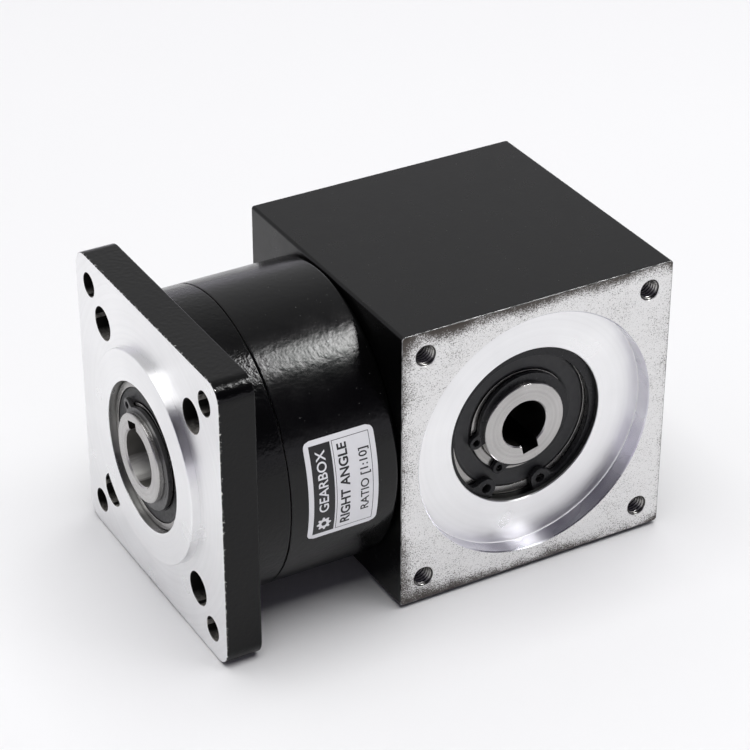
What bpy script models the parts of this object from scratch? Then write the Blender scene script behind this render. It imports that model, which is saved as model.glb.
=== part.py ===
"""Right-angle planetary gearbox, 10 to 1, with a hollow input and a hollow output shaft.

A motor bolts to the square face of the corner housing and drives a pair of equal bevel
gears. The driven bevel gear turns the sun of a planetary stage, whose carrier is the
output shaft. The gearbox lies with both axes level: the output points along -X and the
motor face along -Y. The origin is under the middle of the object, on its supporting plane.

Lengths are in millimetres and become metres where a mesh is made. Each axis has an empty
at the point where the two axes cross. Its local +Z runs outwards along the axis, so a
height in an outline is the distance from that crossing point.
"""

import math

import bmesh
import bpy
from mathutils import Matrix, Vector

MM = 0.001

# Outer sizes
CUBE_SIDE = 84.0
CUBE_CORNER = 0.9
FLANGE_SIDE = 86.0
FLANGE_CORNER = 5.5
HOUSING_RADIUS = 42.0
OUTPUT_REACH = 98.4
CUBE_HALF = CUBE_SIDE / 2
LENGTH = OUTPUT_REACH + CUBE_HALF
CROSSING = Vector((LENGTH / 2 - CUBE_HALF, 0, FLANGE_SIDE / 2))

# Heights along the output axis
SEAM = 74.5
SEAM_GAP = 0.3
PLATE_BACK = 84.4
PLATE_FRONT = 94.8
BOSS_FACE = 97.3
BOSS_RADIUS = 30.0
BOSS_CHAMFER = 0.6

# Interfaces, with each keyway's angle in degrees
HOLE_SQUARE_HALF = 34.8
FLANGE_HOLE_RADIUS = 3.4
FLANGE_SCREW_OFFSET = 26.8
FLANGE_SCREW_SEAT = PLATE_FRONT - 11.0
HOUSING_SCREW_ORBIT = 24.0
HOUSING_SCREW_SEAT = 45.0
MOTOR_PILOT_RADIUS = 36.5
MOTOR_PILOT_DEPTH = 5.0
MOTOR_THREAD_RADIUS = 2.5
MOTOR_THREAD_DEPTH = 15.0
THREAD_CHAMFER = 0.6
INPUT_BORE_RADIUS = 7.0
INPUT_BORE_BOTTOM = 5.0
INPUT_SHAFT_END = 36.3
INPUT_KEY_ANGLE = -76.0
OUTPUT_BORE_RADIUS = 8.0
OUTPUT_BORE_BOTTOM = 73.0
OUTPUT_KEY_ANGLE = 17.0
KEY_WIDTH = 5.0
KEY_RISE = 2.3

# Gaps between neighbouring pieces
FIT = 0.15
SEAT_GAP = 0.06
FACE_GAP = 0.2
RUN_GAP = 0.5
CIRCLIP_GAP = 0.25
SHOULDER_GAP = 0.1

# How far a cutter reaches past the surface it opens
OVERSHOOT = 1.0

# Gears
PRESSURE_ANGLE = math.radians(20)
PLANETARY_MODULE = 0.6
SUN_TEETH = 12
PLANET_TEETH = 48
RING_TEETH = SUN_TEETH + 2 * PLANET_TEETH
PLANET_COUNT = 3
PLANET_ORBIT = PLANETARY_MODULE * (SUN_TEETH + PLANET_TEETH) / 2
ADDENDUM = 0.8
GEAR_LOW = 54.5
GEAR_HIGH = 67.5
BEVEL_TEETH = 18
BEVEL_PITCH_RADIUS = 18.0
BEVEL_FACE_RATIO = 0.73
BEVEL_BACK = 21.1
BEVEL_ROOT_RATIO = 2.1
TOOTH_SLACK = 0.06
BEVEL_SLACK = 0.16

# Bearings: bore radius, outer radius, width
INPUT_FRONT_SIZE = (12.5, 23.5, 12.0)
INPUT_REAR_SIZE = (8.5, 17.5, 10.0)
SUN_SIZE = (8.5, 17.5, 10.0)
OUTPUT_FRONT_SIZE = (12.5, 21.0, 9.0)
OUTPUT_REAR_SIZE = (17.5, 27.5, 10.0)
INPUT_FRONT_LOW = 21.3
INPUT_REAR_LOW = -31.1
SUN_INNER_LOW = 21.4
SUN_OUTER_LOW = 31.6
OUTPUT_REAR_LOW = 73.4
OUTPUT_FRONT_LOW = 86.3
BALL_COUNT = 7
SEAL_THICKNESS = 0.7

# Shafts
SUN_SEAT_RADIUS = 6.0
SUN_NECK_RADIUS = 5.0
INPUT_BODY_RADIUS = 10.5
SUN_PASSAGE_RADIUS = 16.5
CARRIER_RADIUS = 30.5
POST_RADIUS = 3.8
POST_ORBIT = 26.0
POST_SPIGOT_RADIUS = 2.5
PIN_RADIUS = 3.0
BUSH_RADIUS = 4.9
PLANET_BORE_RADIUS = 5.05

# Cap screws: shank radius, head radius, head height, hexagon radius
SCREW_SHANK = 2.15
SCREW_CLEARANCE = 2.75
SCREW_THREAD_HOLE = 2.4
SCREW_HEAD = 4.25
SCREW_HEAD_HEIGHT = 5.0
SCREW_HEXAGON = 2.3
SCREW_HEXAGON_DEPTH = 2.5
SCREW_COUNTERBORE = 4.75

# Facets round a full circle, and the turn of the first corner in degrees
ROUND = 40
SHAFT = 28
RING = 20
BUSH = 14
SMALL = 8
HEXAGON = 6
BEAD = 5
FIRST_CORNER = 4.3


# Materials


def material(name, colour, roughness, metallic):
    """A Principled BSDF with one plain finish."""
    finish = bpy.data.materials.new(name)
    finish.use_nodes = True
    shader = finish.node_tree.nodes["Principled BSDF"]
    shader.inputs["Base Color"].default_value = (*colour, 1)
    shader.inputs["Roughness"].default_value = roughness
    shader.inputs["Metallic"].default_value = metallic
    return finish


def make_materials():
    return {
        "paint": material("black_paint", (0.012, 0.012, 0.013), 0.28, 0),
        "aluminium": material("machined_aluminium", (0.80, 0.81, 0.83), 0.32, 1),
        "steel": material("ground_steel", (0.62, 0.60, 0.58), 0.30, 1),
        "gear": material("gear_steel", (0.42, 0.42, 0.43), 0.38, 1),
        "race": material("bearing_steel", (0.70, 0.70, 0.71), 0.22, 1),
        "circlip": material("circlip_steel", (0.10, 0.10, 0.105), 0.40, 1),
        "screw": material("screw_steel", (0.06, 0.06, 0.065), 0.42, 1),
        "rubber": material("seal_rubber", (0.025, 0.025, 0.027), 0.60, 0),
        "bronze": material("bush_bronze", (0.66, 0.42, 0.22), 0.40, 1),
        "label": material("label_film", (0.86, 0.86, 0.86), 0.45, 0),
    }


# Shapes


def polar(radius, degrees, height=0.0):
    angle = math.radians(degrees)
    return Vector((radius * math.cos(angle), radius * math.sin(angle), height))


def circle(radius, height, segments):
    turns = [FIRST_CORNER + 360 * step / segments for step in range(segments)]
    return [polar(radius, turn, height) for turn in turns]


def loft(rings, closed=False):
    """A skin over rings of points, one ring after another.

    The ends are capped unless the last ring joins the first. A ring of one point is a pole.
    """
    mesh = bmesh.new()
    rows = [[mesh.verts.new(point * MM) for point in ring] for ring in rings]
    for row, following in zip(rows, rows[1:] + rows[:1] if closed else rows[1:]):
        for step in range(max(len(row), len(following))):
            corners = [row[step % len(row)], row[(step + 1) % len(row)]]
            corners += [following[(step + 1) % len(following)], following[step % len(following)]]
            mesh.faces.new(dict.fromkeys(corners))
    if not closed:
        for end in (rows[0], rows[-1]):
            if len(end) > 1:
                mesh.faces.new(end)
    bmesh.ops.recalc_face_normals(mesh, faces=mesh.faces)
    return mesh


def turned(outline, segments, closed=True):
    """A solid of revolution about +Z. The outline holds (radius, height) points.

    A closed outline stays off the axis. An open one starts and ends on it.
    """
    if closed:
        return loft([circle(radius, height, segments) for radius, height in outline], closed=True)
    poles = [[Vector((0, 0, outline[0][1]))], [Vector((0, 0, outline[-1][1]))]]
    rings = [circle(radius, height, segments) for radius, height in outline]
    return loft([poles[0], *rings, poles[1]])


def prism(outline, low, high):
    """A flat outline extruded from one height to another."""
    return loft([[Vector((x, y, height)) for x, y in outline] for height in (low, high)])


def tube(inner, outer, low, high, segments):
    return turned([(inner, low), (outer, low), (outer, high), (inner, high)], segments)


def rod(radius, low, high, segments):
    return turned([(radius, low), (radius, high)], segments, closed=False)


def rounded_square(side, corner, steps=4):
    centre = side / 2 - corner
    points = []
    for quadrant in range(4):
        middle = polar(centre * math.sqrt(2), 45 + 90 * quadrant)
        for step in range(steps + 1):
            points.append((middle + polar(corner, 90 * (quadrant + step / steps))).xy)
    return points


def moved(mesh, offset):
    bmesh.ops.translate(mesh, vec=Vector(offset) * MM, verts=mesh.verts)
    return mesh


def combined(meshes):
    """Several separate shells in one mesh, for a cutter that makes several holes."""
    whole = bmesh.new()
    for mesh in meshes:
        copies = {vert: whole.verts.new(vert.co) for vert in mesh.verts}
        for face in mesh.faces:
            whole.faces.new([copies[vert] for vert in face.verts])
        mesh.free()
    return whole


def four_corners(half):
    return [(x * half, y * half, 0) for x in (-1, 1) for y in (-1, 1)]


# Objects


def add_object(name, mesh, parent):
    data = bpy.data.meshes.new(name)
    mesh.to_mesh(data)
    mesh.free()
    item = bpy.data.objects.new(name, data)
    bpy.context.scene.collection.objects.link(item)
    item.parent = parent
    return item


def piece(name, mesh, finish, parent):
    """One sub-part: a single closed body with one material."""
    item = add_object(name, mesh, parent)
    item.data.materials.append(finish)
    item.data.shade_smooth()
    item.data.set_sharp_from_angle(angle=math.radians(35))
    return item


def combine(item, mesh, operation):
    """Cuts a mesh from a piece, or joins it on, with a Boolean that stays live."""
    tool = add_object(f"{item.name}_{operation.lower()}_{len(item.modifiers)}", mesh, item.parent)
    tool.location = item.location
    tool.hide_render = True
    tool.display_type = "WIRE"
    boolean = item.modifiers.new(tool.name, "BOOLEAN")
    boolean.operation = operation
    boolean.object = tool


def cut(item, mesh):
    combine(item, mesh, "DIFFERENCE")


def join(item, mesh):
    combine(item, mesh, "UNION")


def axis_empty(name, rotation, location=CROSSING):
    empty = bpy.data.objects.new(name, None)
    bpy.context.scene.collection.objects.link(empty)
    empty.location = location * MM
    empty.rotation_euler = rotation
    return empty


# Gears


def involute(angle):
    return math.tan(angle) - angle


def tooth_half_angle(radius, teeth, module):
    """Half the angle that a tooth spans at a radius. Below the base circle it stays constant."""
    pitch_radius = teeth * module / 2
    base_radius = pitch_radius * math.cos(PRESSURE_ANGLE)
    roll = math.acos(min(1, base_radius / max(radius, base_radius)))
    return math.pi / (2 * teeth) + involute(PRESSURE_ANGLE) - involute(roll)


def gear_outline(teeth, module, flank_radii, slack, phase=0.0, tip_point=None, root_point=None):
    """A spur gear seen from its end.

    Each tooth has its flank at the given radii, from low to high, and is thinned by slack
    on both sides. A tip point makes the tooth pointed. A root point makes the space pointed.
    """
    thinning = slack / (teeth * module / 2)
    points = []
    for tooth in range(teeth):
        centre = 2 * math.pi * tooth / teeth + math.radians(phase)
        half = [tooth_half_angle(radius, teeth, module) - thinning for radius in flank_radii]
        flank = list(zip(flank_radii, half))
        corners = [(radius, centre - angle) for radius, angle in flank]
        if tip_point:
            corners.append((tip_point, centre))
        corners += [(radius, centre + angle) for radius, angle in reversed(flank)]
        if root_point:
            corners.append((root_point, centre + math.pi / teeth))
        points += [(radius * math.cos(angle), radius * math.sin(angle)) for radius, angle in corners]
    return points


def bevel_gear(bore, hub_radius, phase):
    """An equal bevel gear whose pitch cone has its point at the local origin."""
    tip = ADDENDUM * 2 * BEVEL_PITCH_RADIUS / BEVEL_TEETH
    root = BEVEL_ROOT_RATIO * tip
    half_pitch = math.pi / BEVEL_TEETH
    teeth = []
    for tooth in range(BEVEL_TEETH):
        centre = 2 * half_pitch * tooth + math.radians(phase)
        pitch_half = BEVEL_PITCH_RADIUS * half_pitch / 2
        tip_half = pitch_half - tip * math.tan(PRESSURE_ANGLE) - BEVEL_SLACK
        tip_radius = BEVEL_PITCH_RADIUS + tip / math.sqrt(2)
        tip_height = BEVEL_PITCH_RADIUS - tip / math.sqrt(2)
        for side in (-1, 1):
            angle = centre + side * tip_half / tip_radius
            teeth.append(polar(tip_radius, math.degrees(angle), tip_height))
        root_radius = BEVEL_PITCH_RADIUS - root / math.sqrt(2)
        root_height = BEVEL_PITCH_RADIUS + root / math.sqrt(2)
        teeth.append(polar(root_radius, math.degrees(centre + half_pitch), root_height))

    def ring(radius, height):
        return [polar(radius, math.degrees(math.atan2(point.y, point.x)), height) for point in teeth]

    inner = [point * BEVEL_FACE_RATIO for point in teeth]
    front = (BEVEL_PITCH_RADIUS + root / math.sqrt(2)) * BEVEL_FACE_RATIO
    rings = [ring(bore, BEVEL_BACK), ring(hub_radius, BEVEL_BACK), teeth, inner, ring(bore, front)]
    return loft(rings, closed=True)


# Bearings


def ball_bearing(name, size, low, axis, finishes):
    """Outer ring, inner ring, and the balls in their cage as one string of beads."""
    bore, outer, width = size
    section = outer - bore
    middle_radius = (bore + outer) / 2
    wall = 0.25 * section
    ball = 0.33 * section
    groove = 0.39 * section
    centre = low + width / 2
    half = width / 2
    ball_share = 0.87
    string_share = 0.3
    outside = outer - FIT
    inside = (bore + SEAT_GAP) / math.cos(math.pi / RING)
    outer_race = [
        (outside, centre - half),
        (outside, centre + half),
        (outer - wall, centre + half),
        (middle_radius + groove, centre),
        (outer - wall, centre - half),
    ]
    inner_race = [
        (inside, centre - half),
        (bore + wall, centre - half),
        (middle_radius - groove, centre),
        (bore + wall, centre + half),
        (inside, centre + half),
    ]
    piece(f"{name}_outer_ring", turned(outer_race, RING), finishes["race"], axis)
    piece(f"{name}_inner_ring", turned(inner_race, RING), finishes["race"], axis)
    half_ball = math.degrees(0.5 * ball / middle_radius)
    sections = [(-180 / BALL_COUNT, string_share), (-half_ball, ball_share), (half_ball, ball_share)]
    beads = []
    for bead in range(BALL_COUNT):
        place = 360 * bead / BALL_COUNT
        for turn, share in sections:
            outward = polar(1, place + turn)
            spot = polar(middle_radius, place + turn, centre)
            corners = circle(ball * share, 0, BEAD)
            beads.append([spot + outward * corner.x + Vector((0, 0, corner.y)) for corner in corners])
    piece(f"{name}_ball_cage", loft(beads, closed=True), finishes["race"], axis)


def bearing_seal(name, size, low, finish, axis):
    """A thin rubber ring set just inside the outer end of a bearing."""
    bore, outer, width = size
    wall = 0.25 * (outer - bore)
    face = low + width - FACE_GAP
    back = face - SEAL_THICKNESS
    mesh = tube(bore + wall + FACE_GAP, outer - wall - FACE_GAP, back, face, RING)
    piece(name, mesh, finish, axis)


# Circlips


def circlip(seat, low, thickness, band, lug, gap_centre, gap_half, lug_span, outward):
    """A retaining ring open at its gap, with a drilled lug at each end.

    The band is widest opposite the gap. It grows outwards round a shaft, inwards in a bore.
    """
    sign = 1 if outward else -1
    span = 360 - 2 * gap_half
    steps = 18
    middle_width = 0.72
    taper = 0.28
    edge = []
    for step in range(steps + 1):
        turn = gap_half + lug_span + (span - 2 * lug_span) * step / steps
        width = band * (middle_width - taper * math.cos(math.radians(turn)))
        edge.append((seat + sign * width, turn))
    lug_radius = seat + sign * lug
    first_lug = [(lug_radius, gap_half), (lug_radius, gap_half + lug_span)]
    last_lug = [(lug_radius, 360 - gap_half - lug_span), (lug_radius, 360 - gap_half)]
    seat_arc = [(seat, 360 - gap_half - span * step / steps) for step in range(steps + 1)]
    corners = first_lug + edge + last_lug + seat_arc
    outline = [polar(radius, gap_centre + turn).xy for radius, turn in corners]
    hole_turn = gap_half + lug_span / 2
    hole_radius = 0.28 * lug
    hole_orbit = seat + sign * lug * 0.56
    spots = [polar(hole_orbit, gap_centre + side) for side in (hole_turn, -hole_turn)]
    high = low + thickness
    hole_ends = (low - OVERSHOOT, high + OVERSHOOT)
    holes = [moved(rod(hole_radius, *hole_ends, HEXAGON), spot) for spot in spots]
    return prism(outline, low, high), combined(holes)


def add_circlip(name, finish, axis, **shape):
    blank, holes = circlip(**shape)
    cut(piece(name, blank, finish, axis), holes)


# Cap screws and their counterbores


def housing_screw_spots():
    return four_corners(HOUSING_SCREW_ORBIT / math.sqrt(2))


def counterbores(seat, back, front, spots):
    """A cutter for screw holes that pass through a wall and widen above the seat."""
    outline = [
        (SCREW_CLEARANCE, back - OVERSHOOT),
        (SCREW_CLEARANCE, seat),
        (SCREW_COUNTERBORE, seat),
        (SCREW_COUNTERBORE, front + OVERSHOOT),
    ]
    return combined([moved(turned(outline, SMALL, closed=False), spot) for spot in spots])


def cap_screw(name, seat, length, spot, finish, axis):
    """A cap screw whose head rests just above a seat, pointing down the axis."""
    under = seat + FACE_GAP
    top = under + SCREW_HEAD_HEIGHT - FACE_GAP
    floor = top - SCREW_HEXAGON_DEPTH
    outline = [
        (SCREW_SHANK, under - length),
        (SCREW_SHANK, under),
        (SCREW_HEAD, under),
        (SCREW_HEAD, top),
    ]
    item = piece(name, turned(outline, SMALL, closed=False), finish, axis)
    item.location = Vector(spot) * MM
    cut(item, rod(SCREW_HEXAGON, floor, top + OVERSHOOT, HEXAGON))


def make_screws(finishes, output_axis):
    sets = [
        ("flange_screw", FLANGE_SCREW_SEAT, 22.0, four_corners(FLANGE_SCREW_OFFSET)),
        ("housing_screw", HOUSING_SCREW_SEAT, 15.0, housing_screw_spots()),
    ]
    for name, seat, length, spots in sets:
        for number, spot in enumerate(spots, start=1):
            cap_screw(f"{name}_{number}", seat, length, spot, finishes["screw"], output_axis)


# Fixed pieces


def make_corner_housing(finishes, input_axis, output_axis):
    """The cube with the motor face, bored along both axes."""
    blank = prism(rounded_square(CUBE_SIDE, CUBE_CORNER), -CUBE_HALF, CUBE_HALF)
    housing = piece("corner_housing", blank, finishes["paint"], input_axis)
    pilot_floor = CUBE_HALF - MOTOR_PILOT_DEPTH
    bearing_radius = INPUT_FRONT_SIZE[1]
    groove_low, groove_high, groove_radius = 33.35, 35.35, 24.9
    cavity_radius = 21.0
    pocket_radius = INPUT_REAR_SIZE[1]
    bores = [
        (pocket_radius, INPUT_REAR_LOW - FACE_GAP),
        (pocket_radius, INPUT_REAR_LOW + INPUT_REAR_SIZE[2] + FACE_GAP),
        (cavity_radius, INPUT_REAR_LOW + INPUT_REAR_SIZE[2] + FACE_GAP),
        (cavity_radius, INPUT_FRONT_LOW - FACE_GAP),
        (bearing_radius, INPUT_FRONT_LOW - FACE_GAP),
        (bearing_radius, groove_low),
        (groove_radius, groove_low),
        (groove_radius, groove_high),
        (bearing_radius, groove_high),
        (bearing_radius, pilot_floor),
        (MOTOR_PILOT_RADIUS, pilot_floor),
        (MOTOR_PILOT_RADIUS, CUBE_HALF + OVERSHOOT),
    ]
    cut(housing, turned(bores, ROUND, closed=False))
    bottom = CUBE_HALF - MOTOR_THREAD_DEPTH
    thread = [
        (MOTOR_THREAD_RADIUS, bottom),
        (MOTOR_THREAD_RADIUS, CUBE_HALF - THREAD_CHAMFER),
        (MOTOR_THREAD_RADIUS + THREAD_CHAMFER + OVERSHOOT, CUBE_HALF + OVERSHOOT),
    ]
    spots = four_corners(HOLE_SQUARE_HALF)
    cut(housing, combined([moved(turned(thread, SMALL, closed=False), spot) for spot in spots]))

    to_input = input_axis.matrix_basis.inverted() @ output_axis.matrix_basis

    def along_output(mesh):
        bmesh.ops.transform(mesh, matrix=to_input, verts=mesh.verts)
        return mesh

    relief_radius = 20.5
    relief_depth = SUN_INNER_LOW - 1.2
    sun_bores = [
        (relief_radius, 0),
        (relief_radius, relief_depth),
        (SUN_PASSAGE_RADIUS, relief_depth),
        (SUN_PASSAGE_RADIUS, SUN_INNER_LOW - FACE_GAP),
        (SUN_SIZE[1], SUN_INNER_LOW - FACE_GAP),
        (SUN_SIZE[1], CUBE_HALF + OVERSHOOT),
    ]
    cut(housing, along_output(turned(sun_bores, ROUND, closed=False)))
    screw_hole_bottom = 29.0
    holes = [
        moved(rod(SCREW_THREAD_HOLE, screw_hole_bottom, CUBE_HALF + OVERSHOOT, SMALL), spot)
        for spot in housing_screw_spots()
    ]
    cut(housing, along_output(combined(holes)))


def make_ring_gear_housing(finishes, output_axis):
    """The round body. Its bore carries the teeth of the ring gear."""
    back = CUBE_HALF + FACE_GAP
    front = SEAM - SEAM_GAP / 2
    chamfer = 0.8
    wall_front = 50.0
    runout = 34.0
    blank_bore = 30.9
    outline = [
        (SUN_PASSAGE_RADIUS, back),
        (HOUSING_RADIUS - chamfer, back),
        (HOUSING_RADIUS, back + chamfer),
        (HOUSING_RADIUS, front),
        (runout, front),
        (runout, GEAR_HIGH + RUN_GAP),
        (blank_bore, GEAR_HIGH + RUN_GAP),
        (blank_bore, GEAR_LOW - RUN_GAP),
        (runout, GEAR_LOW - RUN_GAP),
        (runout, wall_front),
        (SUN_PASSAGE_RADIUS, wall_front),
    ]
    housing = piece("ring_gear_housing", turned(outline, ROUND), finishes["paint"], output_axis)
    ring_pitch = PLANETARY_MODULE * RING_TEETH / 2
    ring_dedendum = 1.4
    spaces = gear_outline(
        RING_TEETH,
        PLANETARY_MODULE,
        [ring_pitch - ADDENDUM * PLANETARY_MODULE],
        -TOOTH_SLACK,
        phase=180 / RING_TEETH,
        tip_point=ring_pitch + ring_dedendum,
    )
    cut(housing, prism(spaces, GEAR_LOW - 2 * RUN_GAP, GEAR_HIGH + 2 * RUN_GAP))
    thread_bottom = 60.5
    threads = [
        moved(rod(SCREW_THREAD_HOLE, thread_bottom, front + OVERSHOOT, SMALL), spot)
        for spot in four_corners(FLANGE_SCREW_OFFSET)
    ]
    cut(housing, combined(threads))
    cut(housing, counterbores(HOUSING_SCREW_SEAT, back, wall_front, housing_screw_spots()))


def make_output_flange(finishes, output_axis):
    """The square mounting plate, its pilot boss and the round part behind it."""
    blank = prism(rounded_square(FLANGE_SIDE, FLANGE_CORNER), PLATE_BACK, PLATE_FRONT)
    flange = piece("output_flange", blank, finishes["paint"], output_axis)
    back = SEAM + SEAM_GAP / 2
    spigot = 33.8
    spigot_back = 72.6
    shoulder = 19.0
    rear_bore = OUTPUT_REAR_SIZE[1]
    front_bore = OUTPUT_FRONT_SIZE[1]
    rear_top = OUTPUT_REAR_LOW + OUTPUT_REAR_SIZE[2] + FACE_GAP
    front_bottom = OUTPUT_FRONT_LOW - FACE_GAP
    body = [
        (rear_bore, spigot_back),
        (spigot, spigot_back),
        (spigot, back),
        (HOUSING_RADIUS, back),
        (HOUSING_RADIUS, PLATE_BACK + OVERSHOOT),
        (BOSS_RADIUS, PLATE_BACK + OVERSHOOT),
        (BOSS_RADIUS, BOSS_FACE - BOSS_CHAMFER),
        (BOSS_RADIUS - BOSS_CHAMFER, BOSS_FACE),
        (front_bore, BOSS_FACE),
        (front_bore, front_bottom),
        (shoulder, front_bottom),
        (shoulder, rear_top),
        (rear_bore, rear_top),
    ]
    plate_ends = (PLATE_BACK - OVERSHOOT, PLATE_FRONT + OVERSHOOT)
    cut(flange, rod(front_bore + OVERSHOOT, *plate_ends, ROUND))
    join(flange, turned(body, ROUND))
    holes = [
        moved(rod(FLANGE_HOLE_RADIUS, *plate_ends, SMALL), spot)
        for spot in four_corners(HOLE_SQUARE_HALF)
    ]
    cut(flange, combined(holes))
    spots = four_corners(FLANGE_SCREW_OFFSET)
    cut(flange, counterbores(FLANGE_SCREW_SEAT, back, PLATE_FRONT, spots))


def make_label(finishes, output_axis):
    """A thin film wrapped on the round body, with rounded corners."""
    low, high = 48.9, 69.5
    first, last = -106.5, -66.0
    lift, thickness, corner = 0.1, 0.2, 2.0
    inner = HOUSING_RADIUS + lift
    steps = 14
    rings = []
    for step in range(steps + 1):
        degrees = first + (last - first) * step / steps
        to_edge = math.radians(min(degrees - first, last - degrees)) * inner
        inset = 0.0
        if to_edge < corner:
            inset = corner - math.sqrt(corner**2 - (corner - to_edge) ** 2)
        ends = [(inner, low + inset), (inner + thickness, low + inset)]
        ends += [(inner + thickness, high - inset), (inner, high - inset)]
        rings.append([polar(radius, degrees, height) for radius, height in ends])
    piece("rating_label", loft(rings), finishes["label"], output_axis)


# Turning pieces


def keyway(bore_radius, low, high, degrees):
    """A slot cutter that reaches from the axis to the bottom of the keyway."""
    depth = bore_radius + KEY_RISE
    half = KEY_WIDTH / 2
    mesh = prism([(0, -half), (depth, -half), (depth, half), (0, half)], low, high)
    turn = Matrix.Rotation(math.radians(degrees), 4, "Z")
    bmesh.ops.transform(mesh, matrix=turn, verts=mesh.verts)
    return mesh


def make_input_shaft(finishes, input_axis):
    """The hollow shaft that the motor shaft slides into."""
    seat = INPUT_FRONT_SIZE[0]
    groove = 12.0
    groove_low, groove_high = 33.45, 34.85
    end_chamfer = 0.5
    rear_seat = INPUT_REAR_SIZE[0]
    body_low = INPUT_REAR_LOW + INPUT_REAR_SIZE[2] + FACE_GAP
    body_high = INPUT_FRONT_LOW - SHOULDER_GAP
    outline = [
        (rear_seat, INPUT_REAR_LOW + SHOULDER_GAP),
        (rear_seat, body_low),
        (INPUT_BODY_RADIUS, body_low),
        (INPUT_BODY_RADIUS, body_high),
        (seat, body_high),
        (seat, groove_low),
        (groove, groove_low),
        (groove, groove_high),
        (seat, groove_high),
        (seat, INPUT_SHAFT_END - end_chamfer),
        (seat - end_chamfer, INPUT_SHAFT_END),
    ]
    shaft = piece("input_shaft", turned(outline, SHAFT, closed=False), finishes["steel"], input_axis)
    bore_top = INPUT_SHAFT_END + OVERSHOOT
    key_bottom = INPUT_BORE_BOTTOM + 3.0
    cut(shaft, rod(INPUT_BORE_RADIUS, INPUT_BORE_BOTTOM, bore_top, RING))
    cut(shaft, keyway(INPUT_BORE_RADIUS, key_bottom, bore_top, INPUT_KEY_ANGLE))
    add_circlip(
        "input_shaft_circlip",
        finishes["circlip"],
        input_axis,
        seat=groove + CIRCLIP_GAP,
        low=groove_low + SHOULDER_GAP,
        thickness=1.2,
        band=3.0,
        lug=4.2,
        gap_centre=-144,
        gap_half=18,
        lug_span=16,
        outward=True,
    )
    add_circlip(
        "input_bearing_circlip",
        finishes["circlip"],
        input_axis,
        seat=24.6,
        low=33.5,
        thickness=1.7,
        band=4.3,
        lug=6.5,
        gap_centre=-97,
        gap_half=16,
        lug_span=17,
        outward=False,
    )
    hub_radius = 14.5
    mesh = bevel_gear(INPUT_BODY_RADIUS + FIT, hub_radius, phase=180 + 180 / BEVEL_TEETH)
    piece("drive_bevel_gear", mesh, finishes["gear"], input_axis)


def make_sun_shaft(finishes, output_axis):
    """The sun gear cut on its shaft, and the driven bevel gear on the other end."""
    seat = SUN_SIZE[0]
    groove = 8.0
    groove_low, groove_high = 41.8, 43.2
    pitch = PLANETARY_MODULE * SUN_TEETH / 2
    shaft_end = 13.5
    seat_end = 44.5
    neck_low, neck_high = 46.0, 52.5
    core = pitch - 0.9
    outline = [
        (SUN_SEAT_RADIUS, shaft_end),
        (SUN_SEAT_RADIUS, SUN_INNER_LOW - FACE_GAP),
        (seat, SUN_INNER_LOW - FACE_GAP),
        (seat, groove_low),
        (groove, groove_low),
        (groove, groove_high),
        (seat, groove_high),
        (seat, seat_end),
        (SUN_NECK_RADIUS, neck_low),
        (SUN_NECK_RADIUS, neck_high),
        (core, GEAR_LOW),
        (core, GEAR_HIGH - OVERSHOOT),
    ]
    shaft = piece("sun_shaft", turned(outline, RING, closed=False), finishes["gear"], output_axis)
    flank_radii = [pitch - 0.35, pitch + 0.05, pitch + ADDENDUM * PLANETARY_MODULE]
    root = pitch - 0.75
    teeth = gear_outline(SUN_TEETH, PLANETARY_MODULE, flank_radii, TOOTH_SLACK, root_point=root)
    join(shaft, prism(teeth, GEAR_LOW - RUN_GAP, GEAR_HIGH))
    add_circlip(
        "sun_shaft_circlip",
        finishes["circlip"],
        output_axis,
        seat=groove + CIRCLIP_GAP,
        low=groove_low + SHOULDER_GAP,
        thickness=1.0,
        band=2.4,
        lug=3.8,
        gap_centre=0,
        gap_half=20,
        lug_span=22,
        outward=True,
    )
    hub_radius = 11.0
    mesh = bevel_gear(SUN_SEAT_RADIUS + FIT, hub_radius, phase=-90)
    piece("driven_bevel_gear", mesh, finishes["gear"], output_axis)


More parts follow.
